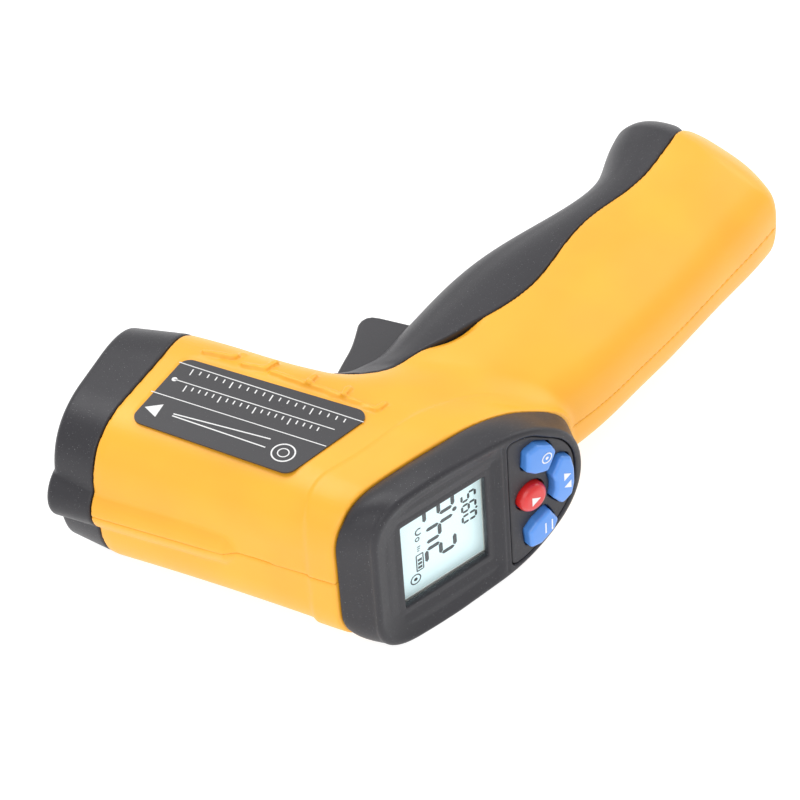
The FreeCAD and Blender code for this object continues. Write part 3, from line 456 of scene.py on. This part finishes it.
# ---------------------------------------------------------------- nose cap and grip cover
def nose_cap():
    """The black cap at the front: the sensor's flared mouth with its tube's collar, and the laser's hole."""
    block = Block((-1.0, -4.2, -22.0), (18.0, 48.4, 22.0), 0.32)
    x, y, z = block.x, block.y, block.z
    barrel, pod = barrel_field(x, y, z), pod_field(x, y, z)
    outer = round_or(round_and(barrel, 0.02 - x, 1.5), round_and(pod, -0.5 - x, 1.5), 0.35)
    body = round_and(outer, nose_side(x, y) + SEAM_GAP / 2, EDGE)
    cavity = np.maximum(np.minimum(barrel + WALL, pod + WALL - 0.6), 3.0 - x)
    collar = np.maximum(np.hypot(y - SENSOR_Y, z) - 10.6, np.maximum(2.0 - x, x - 7.0))
    seat = np.maximum(np.maximum(np.hypot(y - LASER_Y, z) - 4.6, np.maximum(2.0 - x, x - 5.5)), outer)
    body = np.minimum(np.minimum(np.maximum(body, -cavity), collar), seat)
    from_axis = np.hypot(y - SENSOR_Y, z)
    flare = (from_axis - 12.0 + 4.0 * np.clip(x, -1, 4.6) / 4.6) * 0.755
    body = round_and(body, -np.maximum(flare, x - 4.6), 0.6)
    body = np.maximum(body, -np.maximum(from_axis - LENS_TUBE_SEAT, 4.5 - x))
    from_laser = np.hypot(y - LASER_Y, z)
    body = round_and(body, -(from_laser - BEAM_HOLE), 0.35)
    body = np.maximum(body, -np.maximum(from_laser - LASER_SEAT, 3.0 - x))
    finish_piece(field_piece("nose_cap_skin", body, block), "housing", "black_shell", ["nose_cap"])


def grip_cover():
    """The black battery door that forks round the trigger, with its hinge knuckles."""
    block = Block((43.0, 42.4, -17.8), (90.4, 153.6, 17.8), 0.36)
    x, y, z = block.x, block.y, block.z
    barrel = barrel_field(x, y, z)
    handle = handle_field(x, y, z, 2.4)
    gap = SEAM_GAP + 1.5 * ramp(y, 144.5, 150.0)
    outer = round_and(body_field(barrel, handle), cover_region(x, y, barrel) + gap,
                      0.45 + 2.4 * ramp(y, 142.0, 148.5))
    corner = np.maximum(np.maximum(HINGE[0] - x, HINGE[1] - y), 2.4 - np.hypot(x - HINGE[0], y - HINGE[1]))
    outer = np.maximum(outer, -corner)
    body = np.maximum(outer, -(handle + 2.0))
    pin = np.hypot(x - HINGE[0], y - HINGE[1])
    web = np.maximum(np.abs(x - HINGE[0] + 4.0) - 4.0, np.abs(y - HINGE[1]) - 1.6)
    knuckle = np.maximum(np.minimum(pin - 2.1, web), np.abs(np.abs(z) - 8.5) - 0.9)
    body = np.minimum(body, np.maximum(knuckle, handle + 0.15))
    slot = np.maximum(np.maximum(x - 57.9, y - 73.6), np.abs(z) - 5.0)
    body = round_and(body, -slot, 0.5)
    body = np.maximum(body, -trigger_room(x, y, z))
    body = np.maximum(body, -(pin - 1.0))
    ear_room = np.maximum(np.maximum(pin - 6.5, np.abs(np.abs(z) - 5.6) - 1.95), HINGE[1] - 7.0 - y)
    ear_room = np.maximum(ear_room, HINGE[0] - 2.4 - x)
    body = np.maximum(body, -ear_room)
    finish_piece(field_piece("grip_cover_skin", body, block), "grip_cover", "black_shell", ["grip_cover"])


def hinge_pin():
    """The door's hinge pin, shorter than its CAD node so that it stays inside the rounded butt."""
    block = Block((HINGE[0] - 1.6, HINGE[1] - 1.6, -9.8), (HINGE[0] + 1.6, HINGE[1] + 1.6, 9.8), 0.16)
    x, y, z = block.x, block.y, block.z
    rod = round_and(np.hypot(x - HINGE[0], y - HINGE[1]) - HINGE_PIN_RADIUS, np.abs(z) - HINGE_PIN_HALF, 0.3)
    finish_piece(field_piece("door_hinge_pin_skin", rod, block), "grip_cover", "steel", ["door_hinge_pin"])


# ---------------------------------------------------------------- rear face
SEAM_OUTLINE = [(-4.0, 19.4, 10.5), (18.0, 19.4, 3.0), (39.0, 19.4, 9.0), (60.0, 9.0, 7.8)]
RIM_OUTLINE = [(0.7, 21.0, 9.0), (20.0, 21.9, 4.0), (42.5, 20.1, 7.5), (57.3, 9.0, 7.9)]
PANEL_OUTLINE = [(36.9, 18.3, 1.6), (42.3, 17.7, 2.6), (55.2, 8.2, 6.2)]
WINDOW_T, WINDOW_HALF = (9.2, 31.7), 11.95
DISH_DEPTH, DISH_LIFT = 1.5, 0.55             # the sunk part of the face, less deep away from the window
GROOVE_T = 35.9                               # the groove across the face, above the button panel
SIDE_BUTTON = [(40.3, 9.0), (42.6, 6.8), (46.6, 5.6), (49.2, 10.1), (48.3, 12.3), (43.6, 15.0), (41.0, 14.4)]
DOWN_BUTTON = [(48.1, -2.2), (47.9, -4.2), (50.6, -7.2), (52.7, -6.1), (53.7, -3.0), (53.7, 3.0), (52.7, 6.1),
               (50.6, 7.2), (47.9, 4.2), (48.1, 2.2)]
RED_CENTRE, RED_RADIUS = (42.6, 0.0), 3.6
BUTTON_TOP = 1.9
KEY_ROUNDING = 0.9                            # corners of the blue keys' outlines


def button_outline(name, t, z):
    """Distance across the face to a button's side wall."""
    if name == "button_mode":
        return np.hypot(t - RED_CENTRE[0], z - RED_CENTRE[1]) - RED_RADIUS
    points = {"button_ems": SIDE_BUTTON, "button_set": [(a, -b) for a, b in SIDE_BUTTON],
              "button_down": DOWN_BUTTON}[name]
    return polygon_field(drawn_in(points, 1.35), t, z) - KEY_ROUNDING


BUTTONS = ("button_ems", "button_set", "button_mode", "button_down")


def holes(t, z, room):
    """Distance to the nearest key, each key being wider by room."""
    field = None
    for name in BUTTONS:
        one = button_outline(name, t, z) - room
        field = one if field is None else np.minimum(field, one)
    return field


def rear_bezel():
    """The black frame round the rear face, dished round the window."""
    block = Block((-5.2, -23.0, -10.2), (61.4, 23.0, 0.8), 0.3)
    t, z, out = block.x, block.y, block.z
    depth = seam_depth(t)
    rise = np.clip((out + depth) / (depth - 1.2), 0, 1)
    wide = 1 - (1 - rise) ** 3
    corners = [(mix(seam[0], rim[0], rise), mix(seam[1], rim[1], wide), mix(seam[2], rim[2], wide))
               for seam, rim in zip(SEAM_OUTLINE, RIM_OUTLINE)]
    corners = [tuple(v.astype(np.float32) for v in corner) for corner in corners]
    side = outline_field(corners, t, z)
    rim = outline_field(RIM_OUTLINE, t, z)
    dish = DISH_DEPTH * np.clip((-rim - 1.3) / 4.0, 0, 1) * np.clip((35.6 - t) / 2.6, 0, 1)
    window_gap = np.maximum(np.maximum(WINDOW_T[0] - t, t - WINDOW_T[1]), np.abs(z) - WINDOW_HALF)
    dish = np.minimum(dish, DISH_DEPTH - DISH_LIFT * np.clip((window_gap - 1.6) / 2.4, 0, 1))
    groove = 0.3 * (1 - ramp(np.abs(t - GROOVE_T), 0.12, 0.5)) * ramp(-rim, 1.4, 2.2)
    body = round_and(side, out + dish + groove, 1.0)
    body = round_and(body, SEAM_GAP / 2 - depth - out, EDGE)
    seam = outline_field(SEAM_OUTLINE, t, z)
    inner = np.maximum(side + 1.9, out + 2.6)
    body = np.maximum(body, -np.maximum(inner, -10.0 - out))
    wall = np.maximum(np.maximum(window_gap - 1.6, out + 1.4), -3.0 - out)
    body = np.minimum(body, wall)
    skirt = np.maximum(np.maximum(seam + WALL + 0.7, -(seam + WALL + 1.5)), np.maximum(-8.7 - out, out + 6.6))
    body = np.minimum(body, skirt)
    body = round_and(body, -window_gap, 0.25)
    panel = outline_field(PANEL_OUTLINE, t, z)
    body = round_and(body, -np.maximum(panel, -1.4 - out), 0.18)
    body = np.maximum(body, -(panel + 0.6))
    body = np.maximum(body, -FLOOR_DEPTH - z)
    piece = field_piece("rear_bezel_skin", body, block, from_face)
    finish_piece(piece, "housing", "black_shell", ["rear_bezel"])


def button_panel():
    """The raised black plate that the keys come through."""
    block = Block((36.0, -19.2, -1.9), (56.2, 19.2, 0.4), 0.2)
    t, z, out = block.x, block.y, block.z
    field = round_and(outline_field(PANEL_OUTLINE, t, z) + 0.16, out + 0.22, 0.35)
    field = np.maximum(field, -1.4 - out)
    field = round_and(field, -holes(t, z, 0.3), 0.3)
    piece = field_piece("button_panel_skin", field, block, from_face)
    finish_piece(piece, "housing", "black_shell", ["button_panel"])


def buttons():
    """Four keys with softened, slightly crowned tops, each with its flange and stem below the panel."""
    boxes = {"button_ems": ((39.4, 4.6), (50.2, 16.0)), "button_set": ((39.4, -16.0), (50.2, -4.6)),
             "button_mode": ((38.2, -4.6), (47.0, 4.6)), "button_down": ((46.8, -8.4), (54.8, 8.4))}
    stems = {"button_ems": (44.6, 9.4), "button_set": (44.6, -9.4), "button_mode": RED_CENTRE,
             "button_down": (50.9, 0.0)}
    for name, (low, high) in boxes.items():
        block = Block((*low, -7.2), (*high, 2.4), 0.17)
        t, z, out = block.x, block.y, block.z
        side = button_outline(name, t, z)
        st, sz = stems[name]
        crown = 0.012 * ((t - st) ** 2 + (z - sz) ** 2)
        soft = 1.5 if name == "button_mode" else 0.85
        body = round_and(side, out - BUTTON_TOP + crown, soft)
        body = np.maximum(body, -3.5 - out)
        flange = np.maximum(side - 0.5, np.abs(out + 3.1) - 0.4)
        stem = np.maximum(np.hypot(t - st, z - sz) - 1.5, np.maximum(-6.5 - out, out + 3.4))
        field = np.minimum(np.minimum(body, flange), stem)
        piece = field_piece(name + "_skin", field, block, from_face)
        finish_piece(piece, name, "red_key" if name == "button_mode" else "blue_key", [name])


# ---------------------------------------------------------------- printed and displayed marks
def stroke(a, b, width):
    """A flat bar between two points, as a closed four-sided outline."""
    a, b = np.array(a, float), np.array(b, float)
    side = np.array([-(b - a)[1], (b - a)[0]]) / np.hypot(*(b - a)) * width / 2
    return [tuple(a + side), tuple(b + side), tuple(b - side), tuple(a - side)]


def disc(centre, radius, count=28):
    """The outline of a filled round mark."""
    angles = [2 * math.pi * i / count for i in range(count)]
    return [(centre[0] + radius * math.cos(a), centre[1] + radius * math.sin(a)) for a in angles]


def ring(centre, radius, width, count=36):
    """A ring as short bars."""
    points = disc(centre, radius, count)
    return [stroke(a, b, width) for a, b in zip(points, points[1:] + points[:1])]


def flat_marks(name, shapes, low, high, place):
    """Thin plates with the given outlines, as one mesh."""
    points, faces = [], []
    for outline in shapes:
        start, n = len(points), len(outline)
        points += [(a, b, low) for a, b in outline] + [(a, b, high) for a, b in outline]
        faces += [tuple(start + i for i in reversed(range(n))), tuple(start + n + i for i in range(n))]
        faces += [(start + i, start + (i + 1) % n, start + n + (i + 1) % n, start + n + i) for i in range(n)]
    points = place(np.array(points))
    piece = mesh_object(name, to_row(points), faces)
    piece.data.shade_flat()
    repair(piece)
    return piece


def repair(piece):
    """Turns every face outwards."""
    bm = bmesh.new()
    bm.from_mesh(piece.data)
    bmesh.ops.recalc_face_normals(bm, faces=bm.faces)
    bm.to_mesh(piece.data)
    bm.free()


def label_shapes():
    """Plain rules, a ruler scale, a pointer and a target: generic marks in place of the printed text."""
    rules = [((18.1, 29.1), (62.4, 26.5)), ((19.5, 24.0), (57.7, 22.3)), ((16.3, 19.0), (58.1, 17.2))]
    shapes = [stroke(a, b, 0.22) for a, b in rules]
    shapes.append(disc((19.5, 24.0), 0.62))
    shapes.append([(17.4, 14.2), (20.8, 12.3), (20.8, 16.3)])
    for (ax, ay), (bx, by) in rules[:2]:
        for i in range(2, 22):
            share = i / 23
            x, y = mix(ax, bx, share), mix(ay, by, share)
            reach = 1.9 if i % 5 == 2 else 1.1
            shapes.append(stroke((x, y - 0.7), (x, y - 0.7 - reach), 0.28))
    shapes += ring((50.6, 12.3), 2.5, 0.34) + ring((50.6, 12.3), 1.2, 0.26)
    shapes += [stroke((24.0, 13.9), (46.4, 12.4), 0.3), stroke((24.0, 14.5), (46.4, 15.0), 0.3)]
    return shapes


def label_marks():
    """The white lines on both side labels."""
    shapes = label_shapes()
    top = BARREL_HALF - 0.05
    for sign, name in ((1, "right"), (-1, "left")):
        piece = flat_marks(name + "_label_marks", shapes, top - 0.02, top + 0.03,
                           lambda p, s=sign: p * (1, 1, s))
        ride_as(piece, "housing", "label_white")


SEGMENTS = {                                  # lit bars of each digit
    "0": "abcdef", "2": "abged", "4": "fgbc", "5": "afgcd", "9": "abcdfg"}


def digit(character, t, z, height, width, thick):
    """A seven-segment digit whose top is towards the top of the face and which reads to the tool's right."""
    half, gap = height / 2, thick * 0.16
    nodes = {"a": ((0, 0), (0, 1)), "g": ((1, 0), (1, 1)), "d": ((2, 0), (2, 1)), "f": ((0, 0), (1, 0)),
             "e": ((1, 0), (2, 0)), "b": ((0, 1), (1, 1)), "c": ((1, 1), (2, 1))}
    shapes = []
    for name in SEGMENTS[character]:
        a, b = (np.array((t + row * half, z + side * width)) for row, side in nodes[name])
        along = (b - a) / np.hypot(*(b - a))
        a, b = a + along * gap, b - along * gap
        across = np.array([-along[1], along[0]]) * thick / 2
        nib = along * thick / 2
        shapes.append([tuple(p) for p in (a, a + nib + across, b - nib + across, b, b - nib - across,
                                          a + nib - across)])
    return shapes


def display_marks():
    """The dark digits and symbols on the display."""
    shapes = []
    for character, z in (("2", -6.1), ("4", -0.4), ("2", 5.8)):
        shapes += digit(character, 17.5, z, 7.6, 3.6, 1.0)
    shapes.append(disc((25.5, 4.5), 0.6, 16))
    for character, z in (("0", -1.4), ("9", 1.7), ("5", 4.8)):
        shapes += digit(character, 27.5, z, 3.6, 1.9, 0.6)
    shapes.append(disc((31.3, 1.1), 0.32, 12))
    shapes += ring((15.3, 2.3), 0.5, 0.28, 14)
    arc = [(15.8 + 0.85 * math.cos(a), 4.3 - 0.85 * math.sin(a)) for a in np.linspace(0.9, 5.4, 12)]
    shapes += [stroke(a, b, 0.36) for a, b in zip(arc, arc[1:])]
    shapes += [stroke(a, b, 0.3) for a, b in (((14.7, -7.0), (14.7, -2.4)), ((14.7, -2.4), (16.5, -2.4)),
                                              ((16.5, -2.4), (16.5, -7.0)), ((16.5, -7.0), (14.7, -7.0)))]
    shapes += [stroke((15.6, z), (15.6, z + 0.7), 1.1) for z in (-6.5, -5.4, -4.3)]
    shapes += ring((14.2, -9.0), 1.3, 0.3, 24) + [disc((14.2, -9.0), 0.48, 16)]
    shapes += [stroke((15.1, z), (16.0 + 0.3 * z, z), 0.24) for z in (-1.2, -0.6, 0.0)]
    piece = flat_marks("display_segments", shapes, -4.31, -4.26, from_face)
    ride_as(piece, "housing", "lcd_ink")


def button_marks():
    """White symbols on the keys: a bar, a ring, a pointer and a pair of pointers."""
    top = BUTTON_TOP + 0.03
    marks = {
        "button_ems": ring((45.9, 10.3), 1.25, 0.3, 24) + [disc((45.9, 10.3), 0.4, 16)],
        "button_set": [stroke((44.9, -11.6), (44.9, -8.6), 0.34), stroke((46.7, -11.6), (46.7, -8.6), 0.34)],
        "button_mode": [[(41.5, 1.2), (41.5, -1.2), (43.8, 0.0)]],
        "button_down": [[(50.4, 0.4), (50.4, 2.6), (52.3, 1.5)], [(52.3, -0.4), (52.3, -2.6), (50.4, -1.5)]],
    }
    for name, shapes in marks.items():
        piece = flat_marks(name + "_mark", shapes, top - 0.6, top, from_face)
        ride_as(piece, name, "mark_white")


# ---------------------------------------------------------------- materials
class Nodes:
    """Small helper for building a material's node tree."""

    def __init__(self, name):
        self.material = bpy.data.materials.new(name)
        self.material.use_nodes = True
        self.tree = self.material.node_tree
        self.shader = self.tree.nodes["Principled BSDF"]
        self.where = self.tree.nodes.new("ShaderNodeTexCoord").outputs["Object"]

    def add(self, kind, **values):
        """A new node. Each value sets an input or, failing that, a property."""
        node = self.tree.nodes.new("ShaderNode" + kind)
        for key, value in values.items():
            if key in node.inputs:
                node.inputs[key].default_value = value
            else:
                setattr(node, key, value)
        return node

    def link(self, output, socket):
        """Joins an output to an input."""
        self.tree.links.new(output, socket)

    def noise(self, size, detail=3.0, rough=0.5):
        """Noise with features of about size metres."""
        node = self.add("TexNoise", Scale=1 / size, Detail=detail, Roughness=rough)
        self.link(self.where, node.inputs["Vector"])
        return node.outputs["Fac"]

    def span(self, value, low, high, to_low, to_high):
        """Carries low to high over to to_low to to_high, and cuts off beyond."""
        ends = {"From Min": low, "From Max": high, "To Min": to_low, "To Max": to_high}
        node = self.add("MapRange", **ends)
        self.link(value, node.inputs["Value"])
        return node.outputs["Result"]

    def blend(self, share, a, b):
        """Mixes two colours, or outputs, by share."""
        node = self.tree.nodes.new("ShaderNodeMix")
        node.data_type = "RGBA"
        self.link(share, node.inputs["Factor"])
        for socket, colour in ((node.inputs[6], a), (node.inputs[7], b)):
            if isinstance(colour, tuple):
                socket.default_value = (*colour[:3], 1)
            else:
                self.link(colour, socket)
        return node.outputs[2]

    def bump(self, *layers):
        """Bump from (height, depth in metres) layers."""
        normal = None
        for height, depth in layers:
            node = self.add("Bump", Strength=1.0, Distance=depth)
            self.link(height, node.inputs["Height"])
            if normal:
                self.link(normal, node.inputs["Normal"])
            normal = node.outputs["Normal"]
        self.link(normal, self.shader.inputs["Normal"])


def shade(colour, factor):
    """A colour made lighter or darker."""
    return tuple(min(1.0, c * factor) for c in colour[:3])


def moulded(name, colour, rough, depth=0.000012, vary=0.05, coat=0.0, painted_glint_share=0.0, gloss=0.5):
    """Moulded plastic: fine grain, slow variation of colour and of gloss, and, if wanted, pale specks painted
    into the colour as painted glints.
    """
    n = Nodes(name)
    slow, fine = n.noise(0.018, 2.0), n.noise(0.00035, 4.0, 0.6)
    colours = n.blend(n.span(slow, 0.3, 0.7, 0, 1), shade(colour, 1 - vary), shade(colour, 1 + vary))
    # painted glints: sparse pale specks mixed into the base colour, standing in for light sparkling on the
    # grain
    if painted_glint_share:
        painted_glint_mask = n.span(n.noise(0.00022, 1.0), 0.72, 0.78, 0, painted_glint_share)
        colours = n.blend(painted_glint_mask, colours, (0.8, 0.8, 0.82))
    n.link(colours, n.shader.inputs["Base Color"])
    n.link(n.span(fine, 0.3, 0.7, rough - 0.05, rough + 0.06), n.shader.inputs["Roughness"])
    n.shader.inputs["Specular IOR Level"].default_value = gloss
    n.shader.inputs["Coat Weight"].default_value = coat
    n.shader.inputs["Coat Roughness"].default_value = 0.12
    n.bump((fine, depth), (slow, depth * 4))
    return n.material


def metal(name, colour, rough):
    """Plain metal, slightly uneven."""
    n = Nodes(name)
    fine, slow = n.noise(0.00012, 5.0), n.noise(0.004, 3.0)
    n.link(n.blend(n.span(slow, 0.3, 0.7, 0, 1), shade(colour, 0.86), colour), n.shader.inputs["Base Color"])
    n.link(n.span(fine, 0.3, 0.7, rough - 0.06, rough + 0.1), n.shader.inputs["Roughness"])
    n.shader.inputs["Metallic"].default_value = 1.0
    n.bump((fine, 0.000002))
    return n.material


def board(name, colour):
    """Solder mask with the raised pattern of the tracks under it."""
    n = Nodes(name)
    tracks = n.add("TexBrick", Scale=1 / 0.006, **{"Mortar Size": 0.06, "Mortar Smooth": 0.2})
    n.link(n.where, tracks.inputs["Vector"])
    slow = n.noise(0.003, 3.0)
    lit = n.blend(tracks.outputs["Fac"], shade(colour, 0.8), shade(colour, 1.5))
    n.link(lit, n.shader.inputs["Base Color"])
    n.link(n.span(slow, 0.3, 0.7, 0.22, 0.36), n.shader.inputs["Roughness"])
    n.bump((tracks.outputs["Fac"], 0.00003))
    return n.material


def clear(name, colour, rough, alpha):
    """Clear plastic that shows what is behind it, with faint wipe marks in its gloss."""
    n = Nodes(name)
    n.link(n.blend(n.noise(0.006, 3.0), colour, shade(colour, 0.92)), n.shader.inputs["Base Color"])
    n.link(n.span(n.noise(0.002, 4.0), 0.3, 0.7, rough, rough + 0.04), n.shader.inputs["Roughness"])
    n.shader.inputs["Alpha"].default_value = alpha
    return n.material


def screen(name, colour):
    """A reflective display: pale, slightly uneven, with a faint glow so that it reads under its window."""
    n = Nodes(name)
    slow, fine = n.noise(0.02, 2.0), n.noise(0.0002, 2.0)
    n.link(n.blend(n.span(slow, 0.3, 0.7, 0, 1), shade(colour, 0.96), shade(colour, 1.04)),
           n.shader.inputs["Base Color"])
    n.link(n.span(fine, 0.3, 0.7, 0.3, 0.4), n.shader.inputs["Roughness"])
    n.shader.inputs["Emission Color"].default_value = (*shade(colour, 1.2), 1)
    n.shader.inputs["Emission Strength"].default_value = 0.4
    n.bump((fine, 0.000002))
    return n.material


def materials():
    """One material for each of the record's slots, and a few for the marks."""
    return {
        "yellow_shell": moulded("yellow_shell", (0.93, 0.430, 0.026), 0.40, coat=0.05),
        # black_shell and label_print carry painted glints: pale specks painted into their colour
        "black_shell": moulded("black_shell", (0.029, 0.028, 0.033), 0.40, depth=0.00002, vary=0.08,
                               painted_glint_share=0.3, gloss=0.36),
        "black_trigger": moulded("black_trigger", (0.032, 0.031, 0.036), 0.46, vary=0.08),
        "label_print": moulded("label_print", (0.028, 0.027, 0.031), 0.38, depth=0.000006, painted_glint_share=0.12),
        "blue_key": moulded("blue_key", (0.085, 0.290, 0.80), 0.33, depth=0.000006, coat=0.35),
        "red_key": moulded("red_key", (0.72, 0.018, 0.018), 0.30, depth=0.000006, coat=0.4),
        "clear_window": clear("clear_window", (0.9, 0.95, 0.96), 0.05, 0.03),
        "lcd_glass": screen("lcd_glass", (0.60, 0.76, 0.78)),
        "white_plastic": moulded("white_plastic", (0.80, 0.80, 0.76), 0.45),
        "grey_rubber": moulded("grey_rubber", (0.10, 0.10, 0.105), 0.7),
        "circuit_board": board("circuit_board", (0.010, 0.105, 0.030)),
        "chip_black": moulded("chip_black", (0.018, 0.018, 0.019), 0.5),
        "steel": metal("steel", (0.60, 0.60, 0.62), 0.28),
        "brass": metal("brass", (0.80, 0.55, 0.20), 0.25),
        "infrared_plastic": moulded("infrared_plastic", (0.030, 0.022, 0.020), 0.15, depth=0.000003,
                                    coat=0.6),
        "laser_glass": clear("laser_glass", (0.55, 0.02, 0.02), 0.04, 0.55),
        "nickel": metal("nickel", (0.72, 0.71, 0.68), 0.18),
        "cell_jacket": moulded("cell_jacket", (0.05, 0.09, 0.16), 0.25, coat=0.5),
        "lead_red_skin": moulded("lead_red_skin", (0.55, 0.02, 0.02), 0.35),
        "lead_black_skin": moulded("lead_black_skin", (0.02, 0.02, 0.02), 0.35),
        "label_white": moulded("label_white", (0.78, 0.78, 0.78), 0.4),
        "mark_white": moulded("mark_white", (0.85, 0.86, 0.88), 0.4),
        "lcd_ink": moulded("lcd_ink", (0.035, 0.045, 0.05), 0.35),
    }


MATERIALS = materials()


def ride_as(piece, body, material):
    """Gives a piece its material and its body."""
    piece.data.materials.clear()
    piece.data.materials.append(MATERIALS[material])
    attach(piece, body)


def finish_piece(piece, body, slot, nodes):
    """A piece that is drawn in place of CAD nodes, in the material of its slot."""
    ride_as(piece, body, slot)
    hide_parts(*nodes)


def paint_frame():
    """Gives every CAD node the material of its slot in the record."""
    for part in frame["record"]["subparts"]:
        mesh = frame["nodes"][part["node"]].data
        mesh.materials.clear()
        mesh.materials.append(MATERIALS[part["material_slot"]])


# ---------------------------------------------------------------- stage
LAMPS = [("key", (-0.45, 0.25, 0.9), 0.6, 4.0),                     # name, place, size, power
         ("fill", (0.1, -0.9, 0.6), 0.9, 3.2), ("back", (0.35, 0.8, 0.6), 0.7, 2.4)]
CAMERA_TURN = (27.06, 43.93, -4.34)           # azimuth, elevation and roll in degrees
CAMERA_EYE = (312.5, -445.7, 540.4)           # in the tool frame
CAMERA_LENS = 161.2


def plain(name, colour, rough, glow):
    """A plain matt surface with a glow of its own, for the floor."""
    n = Nodes(name)
    n.link(n.blend(n.noise(0.4, 2.0), colour, shade(colour, 0.99)), n.shader.inputs["Base Color"])
    n.shader.inputs["Roughness"].default_value = rough
    n.shader.inputs["Emission Color"].default_value = (1, 1, 1, 1)
    n.shader.inputs["Emission Strength"].default_value = glow
    return n.material


def stage():
    """A pale floor, a bright surround and broad soft lights."""
    reach = 3.0
    floor = mesh_object("floor", np.array([(-reach, -reach, 0), (reach, -reach, 0), (reach, reach, 0),
                                           (-reach, reach, 0)]), [(0, 1, 2, 3)])
    floor.data.materials.append(plain("floor_white", (0.36, 0.36, 0.36), 0.8, 0.85))
    world = bpy.data.worlds.new("surround")
    bpy.context.scene.world = world
    world.use_nodes = True
    world.node_tree.nodes["Background"].inputs["Color"].default_value = (1, 1, 1, 1)
    world.node_tree.nodes["Background"].inputs["Strength"].default_value = 0.8
    for name, place, size, power in LAMPS:
        lamp = bpy.data.lights.new(name, "AREA")
        lamp.size, lamp.energy = size, power
        holder = bpy.data.objects.new(name, lamp)
        holder.location = place
        holder.rotation_euler = (-Vector(place)).to_track_quat("-Z", "Y").to_euler()
        bpy.context.scene.collection.objects.link(holder)


def camera():
    """The main view: above the tool's right side, from behind the display."""
    azimuth, elevation, roll = (math.radians(a) for a in CAMERA_TURN)
    across = Vector((math.cos(azimuth), math.sin(azimuth), 0))
    upright = Vector((-math.sin(azimuth) * math.sin(elevation), math.cos(azimuth) * math.sin(elevation),
                      math.cos(elevation)))
    right = across * math.cos(roll) + upright * math.sin(roll)
    up = upright * math.cos(roll) - across * math.sin(roll)
    eye = (Vector(CAMERA_EYE) - ORIGIN) / 1000
    data = bpy.data.cameras.new("camera")
    data.sensor_width, data.lens = 36.0, CAMERA_LENS
    data.clip_start = 0.01
    holder = bpy.data.objects.new("camera", data)
    turn = Matrix((right, up, right.cross(up))).transposed().to_4x4()
    holder.matrix_world = Matrix.Translation(eye) @ turn
    bpy.context.scene.collection.objects.link(holder)
    bpy.context.scene.camera = holder


stage()
camera()
bpy.context.scene.view_settings.view_transform = "Standard"
paint_frame()
for build in (shells, nose_cap, grip_cover, hinge_pin, rear_bezel, button_panel, buttons, trigger,
              label_marks, display_marks, button_marks):
    build()
